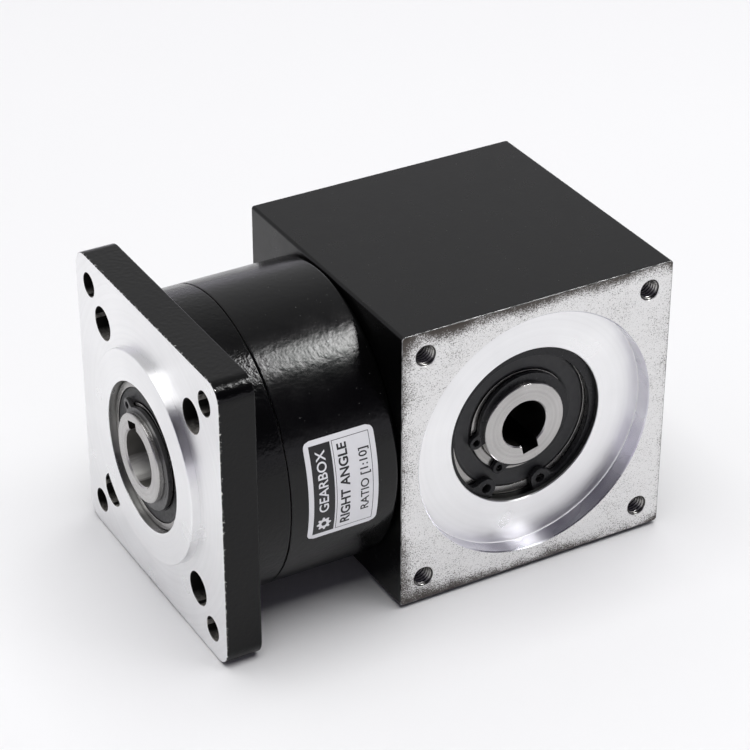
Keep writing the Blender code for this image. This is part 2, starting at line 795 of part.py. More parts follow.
def make_output_carrier(finishes, output_axis):
    """The planet carrier and the hollow output shaft in one piece, with a plate behind."""
    disc_back, disc_front = 68.2, 72.2
    plate_low, plate_high = 51.0, 53.9
    hub_radius = 20.0
    waist_radius = 14.2
    plate_bore = 7.0
    rear_seat = OUTPUT_REAR_SIZE[0]
    rear_seat_end = OUTPUT_REAR_LOW + OUTPUT_REAR_SIZE[2]
    front_seat = OUTPUT_FRONT_SIZE[0]
    groove = 12.0
    groove_low, groove_high = 95.4, 96.8
    end_chamfer = 0.6
    outline = [
        (CARRIER_RADIUS, disc_back),
        (CARRIER_RADIUS, disc_front),
        (hub_radius, disc_front),
        (hub_radius, OUTPUT_REAR_LOW - FACE_GAP),
        (rear_seat, OUTPUT_REAR_LOW - FACE_GAP),
        (rear_seat, rear_seat_end),
        (waist_radius, rear_seat_end),
        (waist_radius, OUTPUT_FRONT_LOW - FACE_GAP),
        (front_seat, OUTPUT_FRONT_LOW - FACE_GAP),
        (front_seat, groove_low),
        (groove, groove_low),
        (groove, groove_high),
        (front_seat, groove_high),
        (front_seat, OUTPUT_REACH - end_chamfer),
        (front_seat - end_chamfer, OUTPUT_REACH),
    ]
    blank = turned(outline, SHAFT, closed=False)
    carrier = piece("output_carrier", blank, finishes["steel"], output_axis)
    post = [
        (POST_SPIGOT_RADIUS, plate_low),
        (POST_SPIGOT_RADIUS, plate_high + FACE_GAP),
        (POST_RADIUS, plate_high + FACE_GAP),
        (POST_RADIUS, disc_back + OVERSHOOT),
    ]
    post_spots = [polar(POST_ORBIT, 60 + 120 * number) for number in range(PLANET_COUNT)]
    join(carrier, combined([moved(turned(post, SMALL, closed=False), spot) for spot in post_spots]))
    pin_spots = [polar(PLANET_ORBIT, 120 * number) for number in range(PLANET_COUNT)]
    pin_hole = PIN_RADIUS + FIT
    disc_ends = (disc_back - OVERSHOOT, disc_front + OVERSHOOT)
    sockets = [moved(rod(pin_hole, *disc_ends, SMALL), spot) for spot in pin_spots]
    cut(carrier, combined(sockets))
    bore_top = OUTPUT_REACH + OVERSHOOT
    key_bottom = OUTPUT_BORE_BOTTOM + 2.0
    cut(carrier, rod(OUTPUT_BORE_RADIUS, OUTPUT_BORE_BOTTOM, bore_top, RING))
    cut(carrier, keyway(OUTPUT_BORE_RADIUS, key_bottom, bore_top, OUTPUT_KEY_ANGLE))

    mesh = tube(plate_bore, CARRIER_RADIUS, plate_low, plate_high, SHAFT)
    plate = piece("carrier_rear_plate", mesh, finishes["steel"], output_axis)
    plate_ends = (plate_low - OVERSHOOT, plate_high + OVERSHOOT)
    post_hole = POST_SPIGOT_RADIUS + FIT
    post_holes = [moved(rod(post_hole, *plate_ends, SMALL), spot) for spot in post_spots]
    pin_holes = [moved(rod(pin_hole, *plate_ends, SMALL), spot) for spot in pin_spots]
    cut(plate, combined(post_holes + pin_holes))

    pin_top = disc_front - RUN_GAP
    for number, spot in enumerate(pin_spots, start=1):
        mesh = rod(PIN_RADIUS, plate_low, pin_top, SMALL)
        pin = piece(f"planet_pin_{number}", mesh, finishes["race"], output_axis)
        pin.location = spot * MM
    add_circlip(
        "output_shaft_circlip",
        finishes["circlip"],
        output_axis,
        seat=groove + CIRCLIP_GAP,
        low=groove_low + SHOULDER_GAP,
        thickness=1.2,
        band=3.0,
        lug=4.2,
        gap_centre=66,
        gap_half=18,
        lug_span=16,
        outward=True,
    )


def make_planets(finishes, output_axis):
    """Three planet gears with their bushes, each turning about its own pin."""
    pitch = PLANETARY_MODULE * PLANET_TEETH / 2
    tip = pitch + ADDENDUM * PLANETARY_MODULE
    root = pitch - 1.3
    teeth = gear_outline(
        PLANET_TEETH,
        PLANETARY_MODULE,
        [tip],
        TOOTH_SLACK / 2,
        phase=180 / PLANET_TEETH,
        root_point=root,
    )
    for number in range(1, PLANET_COUNT + 1):
        turn = 120 * (number - 1)
        spot = polar(PLANET_ORBIT, turn)
        pin_axis = axis_empty(f"planet_axis_{number}", (0, 0, math.radians(turn)), spot)
        pin_axis.parent = output_axis
        blank = prism(teeth, GEAR_LOW, GEAR_HIGH)
        gear = piece(f"planet_gear_{number}", blank, finishes["gear"], pin_axis)
        cut(gear, rod(PLANET_BORE_RADIUS, GEAR_LOW - OVERSHOOT, GEAR_HIGH + OVERSHOOT, BUSH))
        bush = tube(PIN_RADIUS + FIT, BUSH_RADIUS, GEAR_LOW, GEAR_HIGH, BUSH)
        piece(f"planet_bush_{number}", bush, finishes["bronze"], pin_axis)


def make_bearings(finishes, input_axis, output_axis):
    places = [
        ("input_front_bearing", INPUT_FRONT_SIZE, INPUT_FRONT_LOW, input_axis),
        ("input_rear_bearing", INPUT_REAR_SIZE, INPUT_REAR_LOW, input_axis),
        ("sun_bearing_inner", SUN_SIZE, SUN_INNER_LOW, output_axis),
        ("sun_bearing_outer", SUN_SIZE, SUN_OUTER_LOW, output_axis),
        ("output_rear_bearing", OUTPUT_REAR_SIZE, OUTPUT_REAR_LOW, output_axis),
        ("output_front_bearing", OUTPUT_FRONT_SIZE, OUTPUT_FRONT_LOW, output_axis),
    ]
    for name, size, low, axis in places:
        ball_bearing(name, size, low, axis, finishes)
    rubber = finishes["rubber"]
    bearing_seal("input_bearing_seal", INPUT_FRONT_SIZE, INPUT_FRONT_LOW, rubber, input_axis)
    bearing_seal("output_bearing_seal", OUTPUT_FRONT_SIZE, OUTPUT_FRONT_LOW, rubber, output_axis)


def main():
    for item in list(bpy.data.objects):
        bpy.data.objects.remove(item, do_unlink=True)
    finishes = make_materials()
    output_axis = axis_empty("output_axis", (0, -math.pi / 2, 0))
    input_axis = axis_empty("input_axis", (math.pi / 2, 0, 0))
    bpy.context.view_layer.update()
    make_corner_housing(finishes, input_axis, output_axis)
    make_ring_gear_housing(finishes, output_axis)
    make_output_flange(finishes, output_axis)
    make_screws(finishes, output_axis)
    make_label(finishes, output_axis)
    make_bearings(finishes, input_axis, output_axis)
    make_input_shaft(finishes, input_axis)
    make_sun_shaft(finishes, output_axis)
    make_output_carrier(finishes, output_axis)
    make_planets(finishes, output_axis)


main()
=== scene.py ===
"""The looks of the right-angle planetary gearbox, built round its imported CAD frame.

Shapes are drawn in millimetres along one of the two shaft axes, with height 0 where the
axes cross, and stand where the frame has their CAD nodes.
"""

import math

import bmesh
import bpy
from mathutils import Matrix, Vector


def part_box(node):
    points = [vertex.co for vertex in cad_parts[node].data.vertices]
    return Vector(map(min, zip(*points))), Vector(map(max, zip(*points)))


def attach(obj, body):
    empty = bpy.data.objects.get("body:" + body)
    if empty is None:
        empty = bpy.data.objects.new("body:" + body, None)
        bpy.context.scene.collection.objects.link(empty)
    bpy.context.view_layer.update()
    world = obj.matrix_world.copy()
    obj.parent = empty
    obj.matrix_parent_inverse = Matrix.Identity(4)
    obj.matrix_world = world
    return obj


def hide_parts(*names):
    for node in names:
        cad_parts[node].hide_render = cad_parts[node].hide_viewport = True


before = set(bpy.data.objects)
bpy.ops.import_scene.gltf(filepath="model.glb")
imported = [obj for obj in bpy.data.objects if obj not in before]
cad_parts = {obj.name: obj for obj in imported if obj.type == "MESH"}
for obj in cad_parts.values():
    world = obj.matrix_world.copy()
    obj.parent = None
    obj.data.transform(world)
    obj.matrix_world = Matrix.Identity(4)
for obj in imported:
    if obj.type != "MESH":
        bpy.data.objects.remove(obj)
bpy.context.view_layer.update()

MM = 0.001

# The two shaft axes cross in the middle of the corner housing
CUBE_LOW, CUBE_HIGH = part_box("corner_housing")
CROSSING = (CUBE_LOW + CUBE_HIGH) / 2
OUTPUT_AXIS = Matrix.Translation(CROSSING) @ Matrix.Rotation(-math.pi / 2, 4, "Y")
INPUT_AXIS = Matrix.Translation(CROSSING) @ Matrix.Rotation(math.pi / 2, 4, "X")

# Outer sizes
CUBE_HALF = 42.0
CUBE_CORNER = 0.9
FLANGE_HALF = 43.0
FLANGE_CORNER = 5.5
HOUSING_RADIUS = 42.0
SEAM = 74.5
SEAM_GAP = 0.3
PLATE_BACK = 84.4
PLATE_FRONT = 94.8
BOSS_FACE = 97.3
BOSS_RADIUS = 30.0
OUTPUT_REACH = 98.4

# Holes and seats in the housings
HOLE_SQUARE_HALF = 34.8
FLANGE_HOLE_RADIUS = 3.4
FLANGE_SCREW_OFFSET = 26.8
FLANGE_SCREW_SEAT = 83.8
HOUSING_SCREW_OFFSET = 24.0 / math.sqrt(2)
SCREW_CLEARANCE = 2.75
SCREW_COUNTERBORE = 4.75
SCREW_HEAD_HEIGHT = 5.0
THREAD_HOLE = 2.4
THREAD_CREST, THREAD_ROOT = 2.5, 3.0
PILOT_RADIUS = 36.5
PILOT_FLOOR = 37.0
GROOVE_RADIUS = 24.9
GROOVE_LOW, GROOVE_HIGH = 33.35, 35.35

# Bearings: bore radius, outer radius, low face, high face; and their room at a shoulder
INPUT_BEARING = (12.5, 23.5, 21.3, 33.3)
INPUT_REAR_BEARING = (8.5, 17.5, -31.1, -21.1)
SUN_BEARING = (8.5, 17.5, 21.4, 41.6)
OUTPUT_BEARING = (12.5, 21.0, 86.3, 95.3)
OUTPUT_REAR_BEARING = (17.5, 27.5, 73.4, 83.4)
CLEAR = 0.2

# Shafts
SHAFT_GROOVE_RADIUS = 12.0
INPUT_GROOVE = (33.45, 34.85)
OUTPUT_GROOVE = (95.4, 96.8)
INPUT_END = 36.3
INPUT_BORE = 7.0
INPUT_KEY_ANGLE = -76.0
OUTPUT_BORE = 8.0
OUTPUT_KEY_ANGLE = 17.0
KEY_WIDTH = 5.0
KEY_RISE = 2.3

# Planetary stage
MODULE = 0.6
RING_TEETH = 108
PLANET_ORBIT = 18.0
PLANET_COUNT = 3
POST_ORBIT = 26.0
GEAR_LOW, GEAR_HIGH = 54.5, 67.5
PRESSURE_ANGLE = math.radians(20)

# The label's bare edge round its print
LABEL_BORDER = 1.5

# Fineness: facets round a full circle
ROUND = 192
SHAFT = 128
SMALL = 48

# A fillet's width on a machined edge, and the chamfer at the mouth of a flange hole
BREAK = 0.15
MOUTH = 0.15

# Edges sharper than these are shaded sharp, and bevelled on the pieces that have a bevel
SHARP = math.radians(32)
BEVELLED = math.radians(40)


# Node trees

# The colour sockets of a Mix node, by number
MIX_FIRST, MIX_SECOND, MIX_RESULT = 6, 7, 2


def add_node(tree, kind, inputs=(), output=0, **settings):
    """Adds a shader node and returns its output.

    An input's value is a number, a colour or another node's socket.
    """
    node = tree.nodes.new(f"ShaderNode{kind}")
    for key, value in settings.items():
        setattr(node, key, value)
    for key, value in dict(inputs).items():
        if isinstance(value, bpy.types.NodeSocket):
            tree.links.new(value, node.inputs[key])
        else:
            node.inputs[key].default_value = value
    return node.outputs[output]


def mix_colours(tree, share, first, second):
    """Mixes two colours, each a tuple or a socket."""
    values = {"Factor": share}
    for key, colour in ((MIX_FIRST, first), (MIX_SECOND, second)):
        values[key] = colour if isinstance(colour, bpy.types.NodeSocket) else (*colour, 1)
    return add_node(tree, "Mix", values, MIX_RESULT, data_type="RGBA")


# The shader's own input for how glossy a surface is
GLOSS = "Specular IOR Level"

# The finished materials, by name
FINISHES = {}

# Most of a noise texture's values lie between these
NOISE_LOW, NOISE_HIGH = 0.3, 0.7


class Finish:
    """A procedural material. Its patterns are measured in the piece's own millimetres."""

    def __init__(self, name, shader_values):
        material = bpy.data.materials.new(name)
        material.use_nodes = True
        FINISHES[name] = material
        self.tree = material.node_tree
        self.shader = self.tree.nodes["Principled BSDF"]
        for key, value in shader_values.items():
            self.shader.inputs[key].default_value = value
        place = self.add("TexCoord", output="Object")
        self.place = self.vector("SCALE", {0: place, "Scale": 1 / MM})

    def add(self, kind, inputs=(), output=0, **settings):
        return add_node(self.tree, kind, inputs, output, **settings)

    def feed(self, name, socket):
        self.tree.links.new(socket, self.shader.inputs[name])

    def vector(self, operation, inputs, output="Vector"):
        return self.add("VectorMath", inputs, output, operation=operation)

    def math(self, operation, first, second=0.0):
        return self.add("Math", {0: first, 1: second}, operation=operation)

    def split(self):
        return self.add("SeparateXYZ", {"Vector": self.place}).node.outputs

    def radius(self):
        flat = self.vector("MULTIPLY", {0: self.place, 1: (1, 1, 0)})
        return self.vector("LENGTH", {0: flat}, "Value")

    def noise(self, size, detail=2.0, roughness=0.5, squeeze=None):
        """Noise in blotches of about size millimetres, divided by squeeze along each axis."""
        place = self.vector("MULTIPLY", {0: self.place, 1: squeeze}) if squeeze else self.place
        values = {"Vector": place, "Scale": 1 / size, "Detail": detail, "Roughness": roughness}
        return self.add("TexNoise", values)

    def rings(self, size, detail=2.0):
        """Noise that only changes with the distance from the axis, as turning marks do."""
        values = {"W": self.radius(), "Scale": 1 / size, "Detail": detail}
        return self.add("TexNoise", values, noise_dimensions="1D")

    def spread(self, value, low, high, to_low=0.0, to_high=1.0):
        """Maps low..high to to_low..to_high, and stops at both ends."""
        values = {"Value": value, "From Min": low, "From Max": high}
        values.update({"To Min": to_low, "To Max": to_high})
        return self.add("MapRange", values)

    def blend(self, share, first, second):
        return mix_colours(self.tree, share, first, second)

    def colour(self, share, first, second):
        """Colours the surface first where share is 0 and second where it is 1."""
        self.feed("Base Color", self.blend(share, first, second))

    def vary_roughness(self, size, detail, low, high):
        """Moves the roughness from low to high in blotches of about size millimetres."""
        blotches = self.noise(size, detail)
        self.feed("Roughness", self.spread(blotches, NOISE_LOW, NOISE_HIGH, low, high))

    def emboss(self, *layers):
        """Raises the surface by layers of (height, depth in millimetres), one over another."""
        normal = {}
        for height, depth in layers:
            values = {"Height": height, "Strength": 1.0, "Distance": depth * MM, **normal}
            normal = {"Normal": self.add("Bump", values)}
        self.feed("Normal", normal["Normal"])


# Materials


def enamel(name, gloss, roughness, *waves):
    """Black enamel with an orange-peel surface: its finish, and its colour without specks.

    Each layer of waves is (size, detail, depth), in millimetres.
    """
    paint = Finish(name, {GLOSS: gloss})
    paint.vary_roughness(6, 4, roughness - 0.04, roughness + 0.04)
    paint.emboss(*((paint.noise(size, detail), depth) for size, detail, depth in waves))
    black, lighter = (0.0008, 0.0008, 0.0008), (0.0022, 0.0022, 0.0023)
    return paint, paint.blend(paint.noise(14, 3), black, lighter)


def dusty_paint(name, peel, roughness, gloss, specks):
    """Black enamel with a little dust on it. Fewer specks show as the number specks rises."""
    paint, body = enamel(name, gloss, roughness, (1.5, 1.0, peel), (0.6, 1.5, peel * 0.3))
    dust = paint.spread(paint.noise(0.45, 1.0), specks, specks + 0.02)
    paint.colour(dust, body, (0.16, 0.16, 0.155))


def chipped_paint(name, edge_height):
    """The flange's paint. It has flaked off in tiny spots along the edge of the bright face."""
    paint, body = enamel(name, 0.24, 0.16, (1.3, 1.0, 0.075), (0.5, 1.5, 0.036))
    height = paint.split()[2]
    from_edge = paint.math("SUBTRACT", edge_height, height)
    ragged = paint.spread(paint.noise(1.1, 4, 0.7), 0.52, 0.8, 0.0, 1.2)
    chip = paint.math("LESS_THAN", from_edge, ragged)
    paint.colour(chip, body, (0.62, 0.62, 0.6))
    paint.feed("Metallic", chip)


def lathe_finish(name, metallic, sweep):
    """Metal whose highlights are drawn out sideways by turning marks round the axis."""
    across = 0.25
    values = {"Metallic": metallic, "Anisotropic": sweep, "Anisotropic Rotation": across}
    metal = Finish(name, values)
    metal.feed("Tangent", metal.add("Tangent", direction_type="RADIAL", axis="Z"))
    return metal


def turned_metal(name, dark, light, roughness, marks=0.0015, sweep=0.6, stain=0.5, metallic=1.0):
    """Metal cut on a lathe, with stains in rings and blotches (tinted as painted reflection on the
    recess wall) and fine raised marks.
    """
    metal = lathe_finish(name, metallic, sweep)
    worn = metal.spread(metal.noise(11, 2), 0.3, 0.75, 0.0, stain)
    rings = metal.spread(metal.rings(1.3, 2), 0.3, 0.8, 0.0, stain)
    metal.colour(metal.math("MULTIPLY", metal.math("ADD", worn, rings), 0.7), light, dark)
    metal.vary_roughness(14, 1, roughness - 0.03, roughness + 0.03)
    if marks:
        metal.emboss((metal.rings(0.7, 1), marks))


def painted_highlight_bore():
    """The output shaft's bore: a painted highlight band on one side, painted shade elsewhere."""
    turn_to_highlight, highlight_within, shade_beyond = 1.0, 0.1, 0.52
    metal = lathe_finish("bore_steel", metallic=0.45, sweep=0.85)
    turn = metal.math("ARCTAN2", *metal.split()[:2])
    streaks = metal.noise(1.2, 3, squeeze=(1.0, 1.0, 0.12))
    streaks = metal.spread(streaks, NOISE_LOW, NOISE_HIGH, -0.12, 0.12)
    from_middle = metal.math("ADD", metal.math("ADD", turn, turn_to_highlight), streaks)
    highlight_band = metal.spread(metal.math("ABSOLUTE", from_middle), shade_beyond, highlight_within)
    # Painted highlight in the band, near-black painted shade on the rest of the bore
    metal.colour(highlight_band, (0.135, 0.13, 0.118), (0.92, 0.91, 0.87))
    metal.vary_roughness(6, 2, 0.3, 0.38)


def cast_face():
    """The blasted casting of the motor face, with grime in its pores and along its edges."""
    face = Finish("cast_aluminium", {"Metallic": 0.6, GLOSS: 0.4})
    across, up, _ = face.split()
    borders = []
    for side, sign, width, most in (
        (up, 1, 5.5, 1.25),
        (up, -1, 5.5, 0.95),
        (across, -1, 5.0, 0.5),
        (across, 1, 3.0, 0.3),
    ):
        share = face.spread(face.math("MULTIPLY", side, sign), CUBE_HALF - width, CUBE_HALF)
        borders.append(face.math("MULTIPLY", face.math("POWER", share, 1.8), most))
    rows = face.math("MAXIMUM", *borders[:2])
    columns = face.math("MAXIMUM", *borders[2:])
    leaning = face.math("SUBTRACT", face.math("ABSOLUTE", up), across)
    corner = face.spread(leaning, 1.3 * CUBE_HALF, 1.95 * CUBE_HALF, 0.0, 0.5)
    edges = face.math("ADD", face.math("ADD", rows, columns), corner)
    drift = face.spread(face.noise(13, 3, 0.6), 0.32, 0.66, 0.35, 1.0)
    patches = face.spread(face.noise(9, 4, 0.6), 0.4, 0.8, 0.05, 0.34)
    amount = face.math("ADD", face.math("MULTIPLY", edges, drift), patches)
    coarse = face.math("MULTIPLY", face.noise(1.4, 3, 0.7), 0.3)
    pores = face.math("ADD", face.noise(0.4, 3, 0.7), coarse)
    grit = face.spread(face.math("ADD", pores, face.math("MULTIPLY", amount, 0.32)), 0.74, 0.9)
    grain = face.blend(face.noise(0.5, 3, 0.7), (0.74, 0.735, 0.72), (0.95, 0.95, 0.945))
    smear = face.spread(amount, 0.3, 1.4, 0.0, 0.86)
    smeared = face.blend(smear, grain, (0.04, 0.034, 0.028))
    face.colour(face.math("MULTIPLY", grit, 0.88), smeared, (0.06, 0.048, 0.038))
    face.feed("Roughness", face.spread(grit, 0, 1, 0.44, 0.7))
    face.emboss((face.noise(0.4, 3, 0.6), 0.025), (face.noise(1.6, 2), 0.04))


def bore_wall():
    """The reamed wall of a bore, dull and a little oily, and dark also as painted shade deep in
    the housing.
    """
    wall = Finish("bore_wall", {"Metallic": 1.0})
    wall.colour(wall.noise(2.5, 4), (0.1, 0.1, 0.098), (0.2, 0.2, 0.19))
    wall.vary_roughness(1.5, 3, 0.38, 0.5)
    wall.emboss((wall.noise(1, 3, squeeze=(0.3, 0.3, 6.0)), 0.01))


def hole_wall():
    """A drilled hole's wall: chatter marks, overspray patches, one side painted light, the other
    painted shade.
    """
    wall = Finish("hole_wall", {"Metallic": 0.7})
    between = (FLANGE_SCREW_OFFSET + HOLE_SQUARE_HALF) / 2 + 0.7
    leans = []
    for side in wall.split()[:2]:
        outer = wall.math("GREATER_THAN", wall.math("ABSOLUTE", side), between)
        centre = wall.spread(outer, 0, 1, FLANGE_SCREW_OFFSET, HOLE_SQUARE_HALF)
        centre = wall.math("MULTIPLY", wall.math("SIGN", side), centre)
        leans.append(wall.math("SUBTRACT", side, centre))
    # Painted light on one side of each hole and painted shade on the other, broken by patches
    painted_lit_side = wall.spread(wall.math("ADD", *leans), 0.5, -5.5)
    patchy = wall.spread(wall.noise(1.2, 4, 0.7), 0.35, 0.65, 0.3, 1.0)
    wall.colour(wall.math("MULTIPLY", painted_lit_side, patchy), (0.012, 0.011, 0.01), (0.56, 0.54, 0.5))
    wall.vary_roughness(0.8, 3, 0.35, 0.6)
    wall.emboss((wall.noise(1, 3, squeeze=(0.5, 0.5, 4.0)), 0.04))


def thread_metal():
    """Tapped aluminium: bright crests, with painted shade darkening the roots."""
    metal = Finish("tapped_thread", {"Metallic": 1.0})
    squares = []
    for side in metal.split()[:2]:
        offset = metal.math("SUBTRACT", metal.math("ABSOLUTE", side), HOLE_SQUARE_HALF)
        squares.append(metal.math("MULTIPLY", offset, offset))
    radius = metal.math("SQRT", metal.math("ADD", *squares))
    # Painted shade: the colour turns near black towards the thread roots
    root = metal.spread(radius, THREAD_CREST + 0.12, THREAD_ROOT - 0.08)
    mouth = metal.spread(radius, THREAD_ROOT, THREAD_ROOT + 0.05)
    flank = metal.blend(root, (0.52, 0.51, 0.49), (0.012, 0.011, 0.011))
    metal.colour(mouth, flank, (0.78, 0.78, 0.76))
    metal.vary_roughness(0.6, 2, 0.25, 0.42)
    metal.emboss((metal.noise(0.5, 2), 0.01))


def rubber():
    """Moulded nitrile rubber with a faint sheen."""
    skin = Finish("seal_rubber", {GLOSS: 0.45})
    skin.colour(skin.noise(3, 3), (0.012, 0.012, 0.013), (0.022, 0.022, 0.024))
    skin.vary_roughness(1.2, 3, 0.42, 0.56)
    skin.emboss((skin.noise(0.3, 2), 0.006))


def black_steel(name, base, roughness):
    """Phosphated or blackened spring steel, oiled."""
    steel = Finish(name, {"Metallic": 0.3, GLOSS: 0.35})
    lighter = tuple(2.0 * part for part in base)
    steel.colour(steel.noise(1.1, 4, 0.6), base, lighter)
    steel.vary_roughness(0.9, 3, roughness - 0.08, roughness + 0.08)
    steel.emboss((steel.noise(0.5, 3), 0.008))


def bronze():
    """Sintered bronze, with open pores."""
    metal = Finish("bush_bronze", {"Metallic": 1.0})
    pores = metal.spread(metal.noise(0.25, 2), 0.6, 0.7)
    metal.colour(pores, (0.66, 0.42, 0.22), (0.22, 0.13, 0.07))
    metal.vary_roughness(1, 2, 0.36, 0.48)
    metal.emboss((pores, 0.02))


def film(name, light, dark, roughness):
    """Printed polyester film, faintly uneven."""
    sheet = Finish(name, {GLOSS: 0.4})
    sheet.colour(sheet.noise(4, 3), light, dark)
    sheet.vary_roughness(2, 2, roughness - 0.05, roughness + 0.05)
    sheet.emboss((sheet.noise(3, 2), 0.01))


def make_finishes():
    dusty_paint("cube_paint", peel=0.01, roughness=0.3, gloss=0.26, specks=0.8)
    dusty_paint("round_paint", peel=0.044, roughness=0.2, gloss=0.3, specks=0.785)
    chipped_paint("flange_paint", PLATE_FRONT)
    for name, dark, light, roughness, options in (
        ("turned_aluminium", (0.77, 0.77, 0.775), (0.91, 0.91, 0.915), 0.3,
         {"marks": 0.0, "sweep": 0.8, "stain": 0.35}),
        # The recess wall's violet-grey streaks are partly painted reflection of the room, partly
        # turning stains
        ("recess_wall", (0.4, 0.38, 0.47), (0.84, 0.84, 0.86), 0.27,
         {"marks": 0.0, "sweep": 0.8, "stain": 0.8}),
        # The recess floor's fillet is near white: a painted highlight line
        ("painted_highlight_fillet", (0.8, 0.8, 0.8), (0.98, 0.98, 0.98), 0.4,
         {"marks": 0.0, "sweep": 0.0, "metallic": 0.3}),
        ("worn_edge", (0.02, 0.02, 0.02), (0.34, 0.34, 0.34), 0.4, {"sweep": 0.0, "stain": 1.0}),
        ("shaft_steel", (0.3, 0.29, 0.285), (0.54, 0.53, 0.52), 0.28, {"sweep": 0.8}),
        ("journal_steel", (0.5, 0.49, 0.48), (0.88, 0.87, 0.85), 0.2, {"sweep": 0.8}),
        ("flange_bore", (0.26, 0.26, 0.25), (0.52, 0.52, 0.51), 0.28, {"sweep": 0.8}),
        ("oiled_bore", (0.05, 0.045, 0.04), (0.16, 0.15, 0.14), 0.3, {"sweep": 0.2, "stain": 0.8}),
        ("bearing_steel", (0.16, 0.155, 0.15), (0.4, 0.39, 0.38), 0.26, {"sweep": 0.4}),
        ("gear_steel", (0.26, 0.26, 0.27), (0.46, 0.46, 0.47), 0.36, {"sweep": 0.2}),
    ):
        turned_metal(name, dark, light, roughness, **options)
    painted_highlight_bore()
    cast_face()
    bore_wall()
    hole_wall()
    thread_metal()
    rubber()
    bronze()
    black_steel("circlip_steel", (0.009, 0.009, 0.01), 0.32)
    black_steel("output_circlip_steel", (0.05, 0.05, 0.05), 0.34)
    black_steel("screw_steel", (0.02, 0.02, 0.022), 0.42)
    film("label_white", (0.84, 0.84, 0.86), (0.76, 0.76, 0.78), 0.45)
    film("label_black", (0.01, 0.01, 0.011), (0.018, 0.018, 0.019), 0.4)


# Shapes


def polar(radius, degrees, height=0.0):
    angle = math.radians(degrees)
    return Vector((radius * math.cos(angle), radius * math.sin(angle), height))


def circle(radius, height, segments):
    return [polar(radius, 360 * step / segments, height) for step in range(segments)]


# How much of a side one fillet may take
LONGEST_FILLET = 0.45


def on_curve(pulls, share):
    """The point at a share of the way along a Bezier curve."""
    while len(pulls) > 1:
        pulls = [a.lerp(b, share) for a, b in zip(pulls, pulls[1:])]
    return pulls[0]


def softened(corners, ease=BREAK, steps=3, closed=True):
    """Rounds the corners of an outline. A corner's own third value, if it has one, is its fillet.

    An open outline starts and ends on the axis, at the heights of its first and last corners.
    """
    if not closed:
        corners = [(0, corners[0][1], 0), *corners, (0, corners[-1][1], 0)]
    points = []
    for index, (across, along, *own) in enumerate(corners):
        fillet = own[0] if own else ease
        corner = Vector((across, along))
        before = Vector(corners[index - 1][:2]) - corner
        after = Vector(corners[(index + 1) % len(corners)][:2]) - corner
        fillet = min(fillet, LONGEST_FILLET * before.length, LONGEST_FILLET * after.length)
        if fillet <= 0:
            points.append(corner)
            continue
        start = corner + before.normalized() * fillet
        end = corner + after.normalized() * fillet
        points += [on_curve([start, corner, end], step / steps) for step in range(steps + 1)]
    return points if closed else points[1:-1]


def loft(rings, closed=False):
    """A skin over rings of points. Unless the last ring joins the first, both ends are capped."""
    mesh = bmesh.new()
    rows = [[mesh.verts.new(point * MM) for point in ring] for ring in rings]
    for row, following in zip(rows, rows[1:] + rows[:1] if closed else rows[1:]):
        for step in range(max(len(row), len(following))):
            corners = [row[step % len(row)], row[(step + 1) % len(row)]]
            corners += [following[(step + 1) % len(following)], following[step % len(following)]]
            mesh.faces.new(dict.fromkeys(corners))
    if not closed:
        for end in (rows[0], rows[-1]):
            if len(end) > 1:
                mesh.faces.new(end)
    bmesh.ops.recalc_face_normals(mesh, faces=mesh.faces)
    return mesh


def turned(outline, segments=ROUND, closed=True):
    """A solid of revolution about +Z. An open outline starts and ends on the axis."""
    rings = [circle(radius, height, segments) for radius, height in outline]
    if closed:
        return loft(rings, closed=True)
    return loft([[Vector((0, 0, outline[0][1]))], *rings, [Vector((0, 0, outline[-1][1]))]])


def stacked(heights, radii, segments=ROUND):
    """Solid cylinders on one another: the first radius lies between the first two heights."""
    spans = zip(radii, heights, heights[1:])
    outline = [(radius, height) for radius, *span in spans for height in span]
    return turned(outline, segments, closed=False)


def prism(outline, low, high):
    return loft([[Vector((x, y, height)) for x, y in outline] for height in (low, high)])


def rod(radius, low, high, segments=SMALL):
    return stacked([low, high], [radius], segments)


def rounded_square(half, corner, steps=12):
    centre = half - corner
    points = []
    for quadrant in range(4):
        middle = polar(centre * math.sqrt(2), 45 + 90 * quadrant)
        for step in range(steps + 1):
            points.append((middle + polar(corner, 90 * (quadrant + step / steps))).xy)
    return points


def rounded_block(half, corner, low, high, low_fillet, high_fillet, steps=4):
    """A square block with rounded corners and with a fillet round both of its faces."""
    rings = []
    for height, inward, fillet in ((low, 1, low_fillet), (high, -1, high_fillet)):
        turns = [90 * step / steps for step in range(steps + 1)]
        for turn in turns if inward > 0 else reversed(turns):
            inset = fillet * (1 - math.sin(math.radians(turn)))
            rise = height + inward * fillet * (1 - math.cos(math.radians(turn)))
            outline = rounded_square(half - inset, corner - inset)
            rings.append([Vector((x, y, rise)) for x, y in outline])
    return loft(rings)


def repeated(mesh, spots):
    """One mesh with a copy of the given mesh at each spot."""
    whole = bmesh.new()
    for spot in spots:
        shift = Vector(spot) * MM
        copies = {vert: whole.verts.new(vert.co + shift) for vert in mesh.verts}
        for face in mesh.faces:
            whole.faces.new([copies[vert] for vert in face.verts])
    mesh.free()
    return whole


def four_corners(half):
    return [(x * half, y * half, 0) for x in (-1, 1) for y in (-1, 1)]


